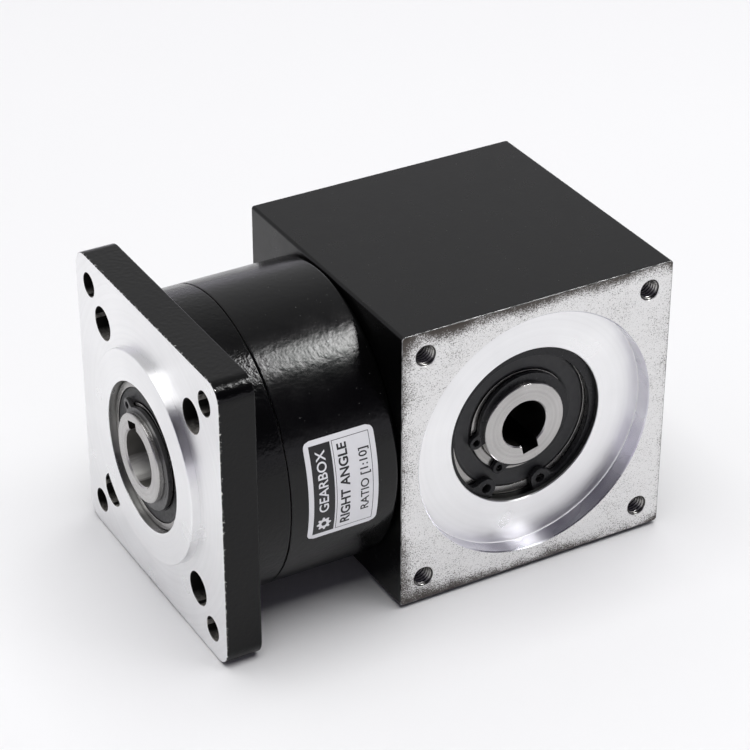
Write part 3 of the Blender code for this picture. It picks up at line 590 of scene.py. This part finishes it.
def threaded_bore(low, high, pitch=1.0, chamfer=0.2):
    """The space inside a tapped hole whose mouth is at height high, with its chamfer."""
    per_turn = 8
    past_mouth = 6
    rings = []
    for step in range(round((high - low) / pitch * per_turn) + past_mouth):
        height = low + step * pitch / per_turn
        ring = []
        for side in range(SMALL):
            phase = (height / pitch - side / SMALL) % 1
            crest = 1 - abs(2 * phase - 1)
            radius = THREAD_CREST + (THREAD_ROOT - THREAD_CREST) * crest
            mouth = THREAD_ROOT + chamfer + height - high
            ring.append(polar(max(radius, mouth), 360 * side / SMALL, height))
        rings.append(ring)
    return loft(rings)


# Pieces


def new_item(name, data):
    item = bpy.data.objects.new(name, data)
    bpy.context.scene.collection.objects.link(item)
    return item


def add_object(name, mesh, axis):
    data = bpy.data.meshes.new(name)
    mesh.to_mesh(data)
    mesh.free()
    item = new_item(name, data)
    item.matrix_world = axis
    return item


def evaluated_mesh(item):
    """A new mesh of the item as its modifiers or its font leave it."""
    bpy.context.view_layer.update()
    evaluated = item.evaluated_get(bpy.context.evaluated_depsgraph_get())
    return bpy.data.meshes.new_from_object(evaluated)


def shaped(name, mesh, axis, cuts=(), joins=()):
    """An object made from a mesh, with others joined on and then others cut away."""
    item = add_object(name, mesh, axis)
    tools = []
    for operation, meshes in (("UNION", joins), ("DIFFERENCE", cuts)):
        for tool_mesh in meshes:
            tool = add_object(f"{name}_tool", tool_mesh, axis)
            boolean = item.modifiers.new("boolean", "BOOLEAN")
            boolean.operation = operation
            boolean.object = tool
            tools.append(tool)
    if tools:
        item.data = evaluated_mesh(item)
        item.modifiers.clear()
        for tool in tools:
            bpy.data.objects.remove(tool)
    return item


def finished(item, body, nodes, finishes, choose=None, bevel=0.0):
    """Gives a piece its finishes and shading, and stands it for its CAD nodes on their body.

    choose(centre, normal) picks a finish for each face by name, in the piece's millimetres.
    """
    data = item.data
    data.name = item.name
    data.materials.clear()
    for finish in finishes:
        data.materials.append(FINISHES[finish])
    if choose:
        for polygon in data.polygons:
            polygon.material_index = finishes.index(choose(polygon.center / MM, polygon.normal))
    data.shade_smooth()
    data.set_sharp_from_angle(angle=SHARP)
    if bevel:
        edge = item.modifiers.new("edges", "BEVEL")
        edge.width = bevel * MM
        edge.segments = 2
        edge.limit_method = "ANGLE"
        edge.angle_limit = BEVELLED
        edge.harden_normals = True
    else:
        item.modifiers.new("normals", "WEIGHTED_NORMAL").keep_sharp = True
    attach(item, body)
    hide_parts(*nodes)
    return item


# Fixed pieces


def corner_housing():
    """The cast cube: black outside, blasted on the motor face, turned in the pilot recess."""
    outer, low = INPUT_BEARING[1:3]
    rear = INPUT_REAR_BEARING
    cavity = 21.0
    chamfer, above = 0.3, 1.0
    floor_fillet = 0.25
    corners = [
        (rear[1], rear[2] - CLEAR, 0), (rear[1], rear[3] + CLEAR), (cavity, rear[3] + CLEAR),
        (cavity, low - CLEAR), (outer, low - CLEAR, 0), (outer, GROOVE_LOW, 0.05),
        (GROOVE_RADIUS, GROOVE_LOW, 0), (GROOVE_RADIUS, GROOVE_HIGH, 0),
        (outer, GROOVE_HIGH, 0.05), (outer, PILOT_FLOOR, 0.5),
        (PILOT_RADIUS, PILOT_FLOOR, floor_fillet), (PILOT_RADIUS, CUBE_HALF - chamfer, 0),
        (PILOT_RADIUS + chamfer + above, CUBE_HALF + above, 0),
    ]
    bores = softened(corners, closed=False)
    thread_depth = 15.0
    thread = threaded_bore(CUBE_HALF - thread_depth, CUBE_HALF)
    _, sun_seat, sun_low, _ = SUN_BEARING
    relief, shoulder = 20.5, 16.5
    screw_bottom = 29.0
    screw_hole = rod(THREAD_HOLE, screw_bottom, CUBE_HALF + 1)
    side_cuts = [
        stacked([0, sun_low - 1.2, sun_low - CLEAR, CUBE_HALF + 1], [relief, shoulder, sun_seat]),
        repeated(screw_hole, four_corners(HOUSING_SCREW_OFFSET)),
    ]
    to_input = INPUT_AXIS.inverted() @ OUTPUT_AXIS
    for mesh in side_cuts:
        bmesh.ops.transform(mesh, matrix=to_input, verts=mesh.verts)
    back_fillet, front_fillet = 0.8, 0.25
    block = rounded_block(
        CUBE_HALF, CUBE_CORNER, -CUBE_HALF, CUBE_HALF, back_fillet, front_fillet
    )
    threads = repeated(thread, four_corners(HOLE_SQUARE_HALF))
    cuts = [turned(bores, closed=False), threads, *side_cuts]
    item = shaped("corner_housing_cast", block, INPUT_AXIS, cuts)

    def choose(centre, normal):
        near_side = CUBE_HALF - max(abs(centre.x), abs(centre.y))
        near_front, near_back = CUBE_HALF - centre.z, CUBE_HALF + centre.z
        past_wall = centre.xy.length - PILOT_RADIUS
        above_floor = centre.z - PILOT_FLOOR
        skin = 1.6
        if near_front < 0.01 and normal.z > 0.99:
            return "cast_aluminium"
        if near_side < 0.3 and near_front < 0.17:
            return "worn_edge"
        if near_side < skin and normal.to_2d().length > 0.3 or near_back < skin:
            return "cube_paint"
        # The floor fillet gets the near-white finish, a painted highlight line
        if -floor_fillet - 0.01 < past_wall < 0 and above_floor < floor_fillet + 0.01:
            return "painted_highlight_fillet"
        if -0.1 < past_wall < 1:
            return "recess_wall"
        if past_wall < 0 and above_floor > -0.4:
            return "turned_aluminium"
        return "tapped_thread" if past_wall > 1 else "bore_wall"

    names = ["cube_paint", "cast_aluminium", "worn_edge", "turned_aluminium", "recess_wall"]
    names += ["painted_highlight_fillet", "bore_wall", "tapped_thread"]
    finished(item, "housing", ["corner_housing"], names, choose)


def involute(angle):
    return math.tan(angle) - angle


def ring_gear_outline():
    """The spaces of the ring gear, seen from its end, with involute flanks."""
    flank_steps = 4
    pitch = RING_TEETH * MODULE / 2
    tip, root = pitch - 0.8 * MODULE, pitch + 1.5 * MODULE
    base = pitch * math.cos(PRESSURE_ANGLE)
    backlash = 0.06
    points = []
    for tooth in range(RING_TEETH):
        centre = 2 * math.pi * (tooth + 0.5) / RING_TEETH
        flank = []
        for step in range(flank_steps + 1):
            radius = tip + (root - tip) * step / flank_steps
            roll = math.acos(min(1, base / max(radius, base)))
            half = math.pi / (2 * RING_TEETH) + involute(PRESSURE_ANGLE) - involute(roll)
            flank.append((radius, half + backlash / pitch))
        corners = [(radius, centre - half) for radius, half in flank]
        corners += [(radius, centre + half) for radius, half in reversed(flank)]
        points += [(reach * math.cos(angle), reach * math.sin(angle)) for reach, angle in corners]
    return points


def ring_gear_housing():
    """The round body. The ring gear's teeth are cut in its bore."""
    back = CUBE_HALF + 0.2
    front = SEAM - SEAM_GAP / 2
    wall_front = 50.0
    wall_bore, runout, blank_bore = 16.5, 34.0, 30.9
    chamfer, gap = 0.9, 0.5
    corners = [
        (wall_bore, back, 0.1), (HOUSING_RADIUS - chamfer, back, 0.1),
        (HOUSING_RADIUS, back + chamfer, 0.5), (HOUSING_RADIUS, front, 0.35), (runout, front),
        (runout, GEAR_HIGH + gap, 0), (blank_bore, GEAR_HIGH + gap),
        (blank_bore, GEAR_LOW - gap), (runout, GEAR_LOW - gap, 0), (runout, wall_front, 0),
        (wall_bore, wall_front),
    ]
    outline = softened(corners)
    teeth = prism(ring_gear_outline(), GEAR_LOW - 2 * gap, GEAR_HIGH + 2 * gap)
    thread_bottom = 60.5
    thread = rod(THREAD_HOLE, thread_bottom, front + 1)
    seat = wall_front - SCREW_HEAD_HEIGHT
    radii = [SCREW_CLEARANCE, SCREW_COUNTERBORE]
    counterbore = stacked([back - 1, seat, wall_front + 1], radii, SMALL)
    cuts = [
        teeth,
        repeated(thread, four_corners(FLANGE_SCREW_OFFSET)),
        repeated(counterbore, four_corners(HOUSING_SCREW_OFFSET)),
    ]
    item = shaped("ring_gear_housing_painted", turned(outline), OUTPUT_AXIS, cuts)

    def choose(centre, normal):
        return "round_paint" if centre.xy.length > HOUSING_RADIUS - 1.0 else "gear_steel"

    names = ["round_paint", "gear_steel"]
    finished(item, "housing", ["ring_gear_housing"], names, choose)


def output_flange():
    """The square plate and the round part behind it, with a turned face and pilot boss."""
    front_bore = OUTPUT_BEARING[1]
    rear_bore = OUTPUT_REAR_BEARING[1]
    back = SEAM + SEAM_GAP / 2
    spigot = 33.8
    spigot_back = 72.6
    shoulder = 19.0
    rear_top = OUTPUT_REAR_BEARING[3] + CLEAR
    front_bottom = OUTPUT_BEARING[2] - CLEAR
    inside_plate = PLATE_BACK + 1
    corners = [
        (rear_bore, spigot_back), (spigot, spigot_back, 0.4), (spigot, back, 0),
        (HOUSING_RADIUS, back, 0.35), (HOUSING_RADIUS, inside_plate, 0),
        (BOSS_RADIUS, inside_plate, 0), (BOSS_RADIUS, BOSS_FACE, 0.5),
        (front_bore, BOSS_FACE, 0.35), (front_bore, front_bottom), (shoulder, front_bottom),
        (shoulder, rear_top), (rear_bore, rear_top, 0),
    ]
    body = softened(corners, steps=4)
    back_fillet, front_fillet = 0.5, 0.22
    plate = rounded_block(
        FLANGE_HALF, FLANGE_CORNER, PLATE_BACK, PLATE_FRONT, back_fillet, front_fillet
    )
    heights = [PLATE_BACK - 1, front_bottom, PLATE_FRONT + 1]
    opening = stacked(heights, [shoulder + 1, front_bore + 1])
    opened = shaped("plate", plate, OUTPUT_AXIS, [opening])
    blank = bmesh.new()
    blank.from_mesh(opened.data)
    bpy.data.objects.remove(opened)
    corners = [
        (FLANGE_HOLE_RADIUS + 1.2, PLATE_BACK - 1, 0),
        (FLANGE_HOLE_RADIUS, PLATE_BACK + 0.2, 0), (FLANGE_HOLE_RADIUS, PLATE_FRONT - MOUTH, 0),
        (FLANGE_HOLE_RADIUS + 1 + MOUTH, PLATE_FRONT + 1, 0),
    ]
    through = softened(corners, closed=False)
    counterbore = [
        (SCREW_CLEARANCE, back - 1),
        (SCREW_CLEARANCE, FLANGE_SCREW_SEAT),
        (SCREW_COUNTERBORE, FLANGE_SCREW_SEAT),
        (SCREW_COUNTERBORE, PLATE_FRONT - MOUTH),
        (SCREW_COUNTERBORE + 1 + MOUTH, PLATE_FRONT + 1),
    ]
    cuts = [
        repeated(turned(outline, SMALL, closed=False), four_corners(half))
        for outline, half in ((through, HOLE_SQUARE_HALF), (counterbore, FLANGE_SCREW_OFFSET))
    ]
    item = shaped("output_flange_turned", blank, OUTPUT_AXIS, cuts, joins=[turned(body)])

    def choose(centre, normal):
        radius = centre.xy.length
        reach = Vector((abs(centre.x), abs(centre.y)))
        in_corner = reach - Vector((1, 1)) * (FLANGE_HALF - FLANGE_CORNER)
        skin = 0.3
        at_side = max(reach) > FLANGE_HALF - skin
        at_corner = min(in_corner) > 0 and in_corner.length > FLANGE_CORNER - skin
        on_round = radius > HOUSING_RADIUS - 0.4 and centre.z < PLATE_BACK + 0.1
        if centre.z > PLATE_FRONT - 0.03 and (radius > front_bore + 0.1 or normal.z > 0.9):
            return "turned_aluminium"
        if at_side or at_corner or on_round or abs(centre.z - PLATE_BACK) < 0.1:
            return "flange_paint"
        return "flange_bore" if radius < BOSS_RADIUS - 1 else "hole_wall"

    names = ["flange_paint", "turned_aluminium", "flange_bore", "hole_wall"]
    finished(item, "housing", ["output_flange"], names, choose)


def cap_screw(name, node, seat, length, spot):
    """A socket head cap screw with a knurled head, resting on a seat."""
    under = seat + 0.2
    top = seat + SCREW_HEAD_HEIGHT
    end = under - length
    head, shank, socket, socket_depth = 4.25, 2.15, 2.3, 2.5
    knurl = 0.12
    steps = 72
    outline = [(shank - 0.3, end), (shank, end + 0.4), (shank, under), (head, under)]
    rings = [circle(radius, height, steps) for radius, height in outline]
    for height in (under + 0.3, top - 0.6):
        ridges = [head - knurl * (step % 2) for step in range(steps)]
        spots = [polar(ridge, 360 * step / steps, height) for step, ridge in enumerate(ridges)]
        rings.append(spots)
    rings += [circle(head - 0.45, top, steps), circle(socket + 0.35, top, steps)]
    rings = [[Vector((0, 0, end))], *rings, [Vector((0, 0, top))]]
    hexagon = loft([circle(socket, height, 6) for height in (top - socket_depth, top + 1)])
    funnel = [(socket * 0.6, top - 0.7), (socket + 0.6, top + 0.4)]
    meshes = (loft(rings), hexagon, turned(funnel, SMALL, closed=False))
    screw, *cuts = [repeated(mesh, [spot]) for mesh in meshes]
    item = shaped(name, screw, OUTPUT_AXIS, cuts)
    finished(item, "housing", [node], ["screw_steel"])


def rating_label():
    """A printed film wrapped on the round body, with a cog, generic words and the ratio."""
    low, high = 48.9, 69.5
    first, last = -106.5, -66.0
    corner = 2.0
    inner, outer = HOUSING_RADIUS + 0.02, HOUSING_RADIUS + 0.12
    ink = 0.02
    steps = 60
    rings = []
    for step in range(steps + 1):
        degrees = first + (last - first) * step / steps
        to_edge = math.radians(min(degrees - first, last - degrees)) * inner
        inset = 0.0
        if to_edge < corner:
            inset = corner - math.sqrt(corner**2 - (corner - to_edge) ** 2)
        bottom, top = low + inset, high - inset
        ends = [(inner, bottom), (outer, bottom), (outer, top), (inner, top)]
        rings.append([polar(radius, degrees, height) for radius, height in ends])
    item = add_object("ratio_label", loft(rings), OUTPUT_AXIS)
    finished(item, "housing", ["rating_label"], ["label_white"])

    def wrapped(name, flat_faces, finish, lift):
        """Print laid on the film. A flat face's points are (along the girth, along the axis)."""
        mesh = bmesh.new()
        for points in flat_faces:
            verts = []
            for girth, height in points:
                degrees = (first + last) / 2 + math.degrees(girth / outer)
                verts.append(mesh.verts.new(polar(outer + lift, degrees, height) * MM))
            mesh.faces.new(verts)
        bmesh.ops.remove_doubles(mesh, verts=mesh.verts, dist=0.001 * MM)
        for face in mesh.faces:
            face.normal_update()
            if face.normal.dot(face.calc_center_median() * Vector((1, 1, 0))) < 0:
                face.normal_flip()
        print_item = add_object(name, mesh, OUTPUT_AXIS)
        solid = print_item.modifiers.new("ink", "SOLIDIFY")
        solid.thickness = ink * MM
        solid.offset = 1
        print_item.data.materials.append(FINISHES[finish])
        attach(print_item, "housing")

    half = math.radians((last - first) / 2) * outer - LABEL_BORDER

    def strip(girth_low, girth_high, height_low, height_high, cells=24):
        cuts = [girth_low + (girth_high - girth_low) * cell / cells for cell in range(cells + 1)]
        return [
            [(a, height_low), (b, height_low), (b, height_high), (a, height_high)]
            for a, b in zip(cuts, cuts[1:])
        ]

    def lettering(text, size, height, girth=0.0, weight=0.0):
        """Flat faces of a text that reads up round the girth."""
        curve = bpy.data.curves.new("lettering", "FONT")
        curve.body = text
        curve.size = size
        curve.offset = weight
        curve.align_x = curve.align_y = "CENTER"
        holder = new_item("lettering", curve)
        mesh = evaluated_mesh(holder)
        bpy.data.objects.remove(holder)
        spots = [(girth + vert.co.x, height + vert.co.y) for vert in mesh.vertices]
        return [[spots[i] for i in polygon.vertices] for polygon in mesh.polygons]

    band_high = high - LABEL_BORDER
    band_low = band_high - 6.2
    band_middle = (band_low + band_high) / 2
    cog_girth = -half + 3.2
    tip, root, hub = 2.1, 1.55, 0.75
    cog = []
    for step in range(32):
        reach, turn = tip if step % 4 < 2 else root, step * math.pi / 16
        cog.append((cog_girth + reach * math.cos(turn), band_middle + reach * math.sin(turn)))
    cog_faces = [[cog[step - 1], cog[step], (cog_girth, band_middle)] for step in range(32)]
    spokes = [polar(1, 30 * step) for step in range(12)]
    hub_face = [(cog_girth + way.x * hub, band_middle + way.y * hub) for way in spokes]
    rule = 0.15
    box_low, box_high = low + LABEL_BORDER, band_low - 0.5
    frame_lines = strip(-half, half, box_high - rule, box_high)
    frame_lines += strip(-half, half, box_low, box_low + rule)
    frame_lines += strip(-half, -half + rule, box_low, box_high, 1)
    frame_lines += strip(half - rule, half, box_low, box_high, 1)
    words = lettering("GEARBOX", 3.9, band_middle, 2.6, 0.05)
    kind = lettering("RIGHT ANGLE", 3.8, box_high - 2.8, weight=0.1)
    ratio = lettering("RATIO [1:10]", 3.4, box_low + 2.4, weight=0.04)
    on_film, on_band, on_cog = 0.005, 0.03, 0.055
    for name, faces, finish, lift in (
        ("label_band", strip(-half, half, band_low, band_high), "label_black", on_film),
        ("label_cog", cog_faces, "label_white", on_band),
        ("label_cog_hub", [hub_face], "label_black", on_cog),
        ("label_band_word", words, "label_white", on_band),
        ("label_frame", frame_lines, "label_black", on_film),
        ("label_type", kind, "label_black", on_film),
        ("label_ratio", ratio, "label_black", on_film),
    ):
        wrapped(name, faces, finish, lift)


# Bearings and seals


def bearing_rings(name, size, body, axis):
    """The two ground rings of a ball bearing, with their grooves and shield seats."""
    bore, outer, low, high = size
    section = outer - bore
    middle, centre = (bore + outer) / 2, (low + high) / 2
    wall, groove = 0.25 * section, 0.39 * section
    shelf = 0.9
    undercut = outer - 0.8 * wall
    edge, race = 0.12, 1.6
    corners = [
        (outer - 0.15, low, 0.6), (outer - 0.15, high, 0.6), (outer - wall, high, edge),
        (outer - wall, high - shelf, 0), (undercut, high - shelf, 0),
        (undercut, high - 2 * shelf, 0), (outer - wall, high - 2 * shelf, 0),
        (middle + groove, centre, race), (outer - wall, low, edge),
    ]
    outer_ring = softened(corners, steps=4)
    corners = [
        (bore + 0.1, low, 0.5), (bore + wall, low, edge), (middle - groove, centre, race),
        (bore + wall, high, edge), (bore + 0.1, high, 0.5),
    ]
    inner_ring = softened(corners, steps=4)
    outer_item = add_object(f"{name}_outer_race", turned(outer_ring), axis)
    inner_item = add_object(f"{name}_inner_race", turned(inner_ring), axis)
    finished(outer_item, "housing", [f"{name}_outer_ring"], ["bearing_steel"])
    finished(inner_item, body, [f"{name}_inner_ring"], ["bearing_steel"])


def bearing_seal(name, node, size, axis):
    """A rubber seal: a flat web with a raised bead outside and a thin lip inside."""
    bore, outer, _, high = size
    wall, gap = 0.25 * (outer - bore), 0.12
    inner, rim = bore + wall + gap, outer - wall - gap
    face = high - 0.2
    back = face - 0.7
    corners = [
        (inner, back, 0.05), (rim, back, 0.05), (rim, face - 0.12, 0.1),
        (rim - 0.45, face, 0.12), (rim - 0.9, face - 0.14, 0.12),
        (inner + 1.1, face - 0.14, 0.2), (inner + 0.7, face - 0.02, 0.15),
        (inner, face - 0.25, 0.08),
    ]
    outline = softened(corners)
    item = add_object(name, turned(outline), axis)
    finished(item, "housing", [node], ["seal_rubber"])


# Circlips


def circlip_outline(seat, band, lug, gap_centre, gap_half, lug_span, outward):
    """A retaining ring seen from its end: a tapering band with a round eye at each end."""
    sign = 1 if outward else -1
    eye = 0.45 * lug
    orbit = seat + sign * (lug - eye)
    eye_turn = gap_half + lug_span / 2
    centre = polar(orbit, eye_turn).xy

    def edge(turn):
        return polar(seat + sign * band * (0.72 - 0.28 * math.cos(math.radians(turn))), turn).xy

    outward_way = centre.normalized() * sign
    gap_way = polar(1, eye_turn - 90).xy
    head = []
    for turn in range(-10, 131, 10):
        angle = math.radians(turn)
        head.append(centre + eye * (math.cos(angle) * gap_way + math.sin(angle) * outward_way))
    joint_turn = eye_turn + 1.35 * math.degrees(eye / orbit) + 3
    joint = edge(joint_turn)
    way = (head[-1] - head[-2]).normalized()
    band_way = (edge(joint_turn + 1) - joint).normalized()
    reach = (joint - head[-1]).length
    pulls = [head[-1], head[-1] + way * reach * 0.4, joint - band_way * reach * 0.4, joint]
    neck = [on_curve(pulls, step / 8) for step in range(1, 8)]
    steps = 90
    sweep = 360 - 2 * joint_turn
    back = [edge(joint_turn + sweep * step / steps) for step in range(steps + 1)]
    near_half = [*head, *neck]
    far_half = [Vector((point.x, -point.y)) for point in reversed(near_half)]
    first, last = 360 - gap_half - 1.5, gap_half + 1.5
    turns = [first - (first - last) * step / steps for step in range(steps + 1)]
    seat_arc = [polar(seat, degrees).xy for degrees in turns]
    turn = Matrix.Rotation(math.radians(gap_centre), 2)
    eyes = [polar(orbit, gap_centre + side) for side in (eye_turn, -eye_turn)]
    return [turn @ point for point in near_half + back + far_half + seat_arc], eyes


def circlip(name, node, body, axis, finish, low, thickness, hole, **shape):
    outline, eyes = circlip_outline(**shape)
    high = low + thickness
    holes = repeated(rod(hole, low - 1, high + 1, 32), eyes)
    item = shaped(name, prism(outline, low, high), axis, [holes])
    finished(item, body, [node], [finish], bevel=0.12)


# Turning pieces


def keyed_bore(radius, low, key_low, end, chamfer, degrees):
    """The space inside a shaft's bore, with a chamfer at its mouth, and that of its keyway."""
    bore = [(radius, low), (radius, end - chamfer), (radius + chamfer + 1, end + 1)]
    half, depth = KEY_WIDTH / 2, radius + KEY_RISE
    outline = [(0, -half), (depth, -half), (depth, half), (0, half)]
    slot = prism(outline, key_low, end + 1)
    turn = Matrix.Rotation(math.radians(degrees), 4, "Z")
    bmesh.ops.transform(slot, matrix=turn, verts=slot.verts)
    return [turned(bore, SHAFT, closed=False), slot]


def shaft_groove(seat, groove):
    """The corners of a circlip groove in a shaft's outline."""
    low, high = groove
    bottom = SHAFT_GROOVE_RADIUS
    return (seat, low, 0.05), (bottom, low, 0), (bottom, high, 0), (seat, high, 0.05)


def input_shaft():
    """The hollow shaft that takes the motor's shaft and its key."""
    rear_seat, _, rear_low, rear_high = INPUT_REAR_BEARING
    seat, body_radius = INPUT_BEARING[0], 10.5
    step = INPUT_BEARING[2] - 0.1
    corners = [
        (rear_seat, rear_low + 0.1, 0.3), (rear_seat, rear_high + CLEAR, 0),
        (body_radius, rear_high + CLEAR), (body_radius, step, 0), (seat, step),
        *shaft_groove(seat, INPUT_GROOVE), (seat, INPUT_END, 0.55),
    ]
    outline = softened(corners, closed=False)
    bore_bottom, key_bottom, chamfer = 5.0, 8.0, 0.35
    cuts = keyed_bore(
        INPUT_BORE, bore_bottom, key_bottom, INPUT_END, chamfer, INPUT_KEY_ANGLE
    )
    blank = turned(outline, SHAFT, closed=False)
    item = shaped("input_hollow_shaft", blank, INPUT_AXIS, cuts)

    def choose(centre, normal):
        if centre.xy.length > seat - 1.5:
            return "journal_steel" if abs(normal.z) < 0.5 else "shaft_steel"
        return "oiled_bore" if normal.z < 0.5 and centre.z > bore_bottom else "shaft_steel"

    names = ["shaft_steel", "journal_steel", "oiled_bore"]
    finished(item, "input", ["input_shaft"], names, choose)


def output_carrier():
    """The planet carrier and the hollow output shaft in one piece, with its three posts."""
    rear_seat, _, rear_low, rear_high = OUTPUT_REAR_BEARING
    seat, step = OUTPUT_BEARING[0], OUTPUT_BEARING[2] - CLEAR
    disc_back, disc_front = GEAR_HIGH + 0.7, 72.2
    disc, shoulder, waist = 30.5, 20.0, 14.2
    corners = [
        (disc, disc_back), (disc, disc_front, 0.4), (shoulder, disc_front),
        (shoulder, rear_low - CLEAR), (rear_seat, rear_low - CLEAR, 0),
        (rear_seat, rear_high, 0.4), (waist, rear_high), (waist, step), (seat, step, 0),
        *shaft_groove(seat, OUTPUT_GROOVE), (seat, OUTPUT_REACH, 0.6),
    ]
    outline = softened(corners, closed=False)
    plate_low, spigot_top = 51.0, 54.1
    spigot_radius, post_radius, pin_radius = 2.5, 3.8, 3.15
    corners = [
        (spigot_radius, plate_low, 0.3), (spigot_radius, spigot_top, 0),
        (post_radius, spigot_top, 0.2), (post_radius, disc_back + 1, 0),
    ]
    post = softened(corners, steps=2, closed=False)
    turns = [360 * number / PLANET_COUNT for number in range(PLANET_COUNT)]
    post_spots = [polar(POST_ORBIT, 60 + degrees) for degrees in turns]
    pin_spots = [polar(PLANET_ORBIT, degrees) for degrees in turns]
    posts = repeated(turned(post, SMALL, closed=False), post_spots)
    sockets = repeated(rod(pin_radius, disc_back - 1, disc_front + 1), pin_spots)
    bore_bottom, key_bottom, chamfer = 73.0, 75.0, 0.45
    cuts = keyed_bore(
        OUTPUT_BORE, bore_bottom, key_bottom, OUTPUT_REACH, chamfer, OUTPUT_KEY_ANGLE
    )
    cuts.insert(0, sockets)
    blank = turned(outline, SHAFT, closed=False)
    item = shaped("output_hollow_shaft", blank, OUTPUT_AXIS, cuts, joins=[posts])

    def choose(centre, normal):
        radius = centre.xy.length
        if radius > seat - 1.5 and centre.z > step and abs(normal.z) < 0.5:
            return "journal_steel"
        if radius > seat - 1.5 or normal.z > 0.5 or centre.z < bore_bottom - 0.1:
            return "shaft_steel"
        return "oiled_bore" if radius > OUTPUT_BORE + 0.2 else "bore_steel"

    names = ["shaft_steel", "journal_steel", "bore_steel", "oiled_bore"]
    finished(item, "output", ["output_carrier"], names, choose)


# Carried-over CAD nodes: a finish for each kind, by words in the node's name
NODE_FINISHES = [
    ("bearing", "bearing_steel"),
    ("circlip", "circlip_steel"),
    ("screw", "screw_steel"),
    ("bush", "bush_bronze"),
    ("pin", "bearing_steel"),
    ("plate", "shaft_steel"),
    ("gear", "gear_steel"),
    ("sun", "gear_steel"),
]


def refinish_cad_nodes():
    """Gives each CAD node that is still shown a finish in place of its plain colour."""
    for name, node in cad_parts.items():
        if node.hide_render:
            continue
        finish = next(finish for word, finish in NODE_FINISHES if word in name)
        for slot in node.material_slots:
            slot.material = FINISHES[finish]


# Studio


def stage_floor():
    """A plain pale floor, wide enough to fill every view."""
    half, drop = 6.0, 0.0002
    mesh = bmesh.new()
    bmesh.ops.create_grid(mesh, x_segments=1, y_segments=1, size=half)
    item = add_object("studio_floor", mesh, Matrix.Translation((0, 0, -drop)))
    paper = Finish("floor_paper", {GLOSS: 0.2})
    paper.colour(paper.noise(220, 2), (0.86, 0.86, 0.865), (0.89, 0.89, 0.89))
    paper.vary_roughness(3, 2, 0.85, 0.95)
    item.data.materials.append(FINISHES["floor_paper"])


def area_light(name, direction, distance, across, along, radiance):
    """A flat light that faces the object, as bright as the given radiance."""
    light = bpy.data.lights.new(name, "AREA")
    light.shape = "RECTANGLE"
    light.size = across
    light.size_y = along
    light.energy = radiance * math.pi * across * along
    item = new_item(name, light)
    back = Vector(direction).normalized()
    right = (Vector((1, 0, 0)) - back * back.x).normalized()
    turn = Matrix((right, back.cross(right), back)).transposed().to_4x4()
    item.matrix_world = Matrix.Translation(CROSSING + back * distance) @ turn
    return item


def studio_world():
    """A pale room: bright near the floor, grey behind the object and dim in front of it."""
    world = bpy.data.worlds.new("studio")
    world.use_nodes = True
    tree = world.node_tree
    way = add_node(tree, "TexCoord", output="Generated")
    _, depth, rise = add_node(tree, "SeparateXYZ", {"Vector": way}).node.outputs
    back = add_node(tree, "MapRange", {"Value": depth, "From Min": -0.3, "From Max": 0.6})
    near_floor = {"Value": rise, "From Min": 0.32, "From Max": 0.12}
    low = add_node(tree, "MapRange", near_floor, interpolation_type="SMOOTHSTEP")
    walls = mix_colours(tree, back, (0.045, 0.04, 0.06), (0.62, 0.62, 0.63))
    room = mix_colours(tree, low, walls, (0.87, 0.85, 0.93))
    tree.links.new(room, tree.nodes["Background"].inputs["Color"])
    bpy.context.scene.world = world


def studio_camera():
    """A camera where the photograph was taken from."""
    lens_in_mm = 126.0
    place = Vector((-0.3034, -0.5387, 0.4235))
    aim = Vector((-0.0057, -0.0138, 0.0569))
    data = bpy.data.cameras.new("camera")
    data.lens = lens_in_mm
    data.clip_start, data.clip_end = 0.01, 50
    item = new_item("camera", data)
    item.location = place
    item.rotation_euler = (aim - place).to_track_quat("-Z", "Y").to_euler()
    bpy.context.scene.camera = item


def main():
    bpy.context.scene.view_settings.view_transform = "Standard"
    make_finishes()
    studio_camera()
    stage_floor()
    studio_world()
    tent = area_light("tent_light", (0.05, -0.1, 1.0), 2.2, 2.2, 2.2, 3.5)
    tent.visible_glossy = False
    strip = area_light("strip_light", (0.5, -0.23, 0.84), 1.4, 0.46, 0.38, 29.0)
    strip.visible_diffuse = False
    rear = area_light("rear_light", (-0.4, 0.13, 0.88), 1.4, 1.1, 1.0, 1.9)
    rear.visible_diffuse = False
    corner_housing()
    ring_gear_housing()
    output_flange()
    for number, spot in enumerate(four_corners(FLANGE_SCREW_OFFSET), start=1):
        name, node = f"flange_cap_screw_{number}", f"flange_screw_{number}"
        cap_screw(name, node, FLANGE_SCREW_SEAT, 22.0, spot)
    rating_label()
    bearing_rings("input_front_bearing", INPUT_BEARING, "input", INPUT_AXIS)
    bearing_rings("output_front_bearing", OUTPUT_BEARING, "output", OUTPUT_AXIS)
    bearing_seal("input_seal", "input_bearing_seal", INPUT_BEARING, INPUT_AXIS)
    bearing_seal("output_seal", "output_bearing_seal", OUTPUT_BEARING, OUTPUT_AXIS)
    input_shaft()
    output_carrier()
    shaft_clip = {"thickness": 1.2, "hole": 1.0, "seat": 12.1, "band": 3.0, "lug": 4.4}
    shaft_clip.update(gap_half=18, lug_span=16, outward=True)
    circlip(
        "input_shaft_ring", "input_shaft_circlip", "input", INPUT_AXIS, "circlip_steel",
        low=33.55, gap_centre=-144, **shaft_clip,
    )
    circlip(
        "output_shaft_ring", "output_shaft_circlip", "output", OUTPUT_AXIS,
        "output_circlip_steel", low=95.5, gap_centre=66, **shaft_clip,
    )
    circlip(
        "input_bearing_ring", "input_bearing_circlip", "housing", INPUT_AXIS, "circlip_steel",
        low=33.5, gap_centre=-97, thickness=1.7, hole=1.4, seat=24.7, band=4.3, lug=6.5,
        gap_half=16, lug_span=17, outward=False,
    )
    refinish_cad_nodes()


main()
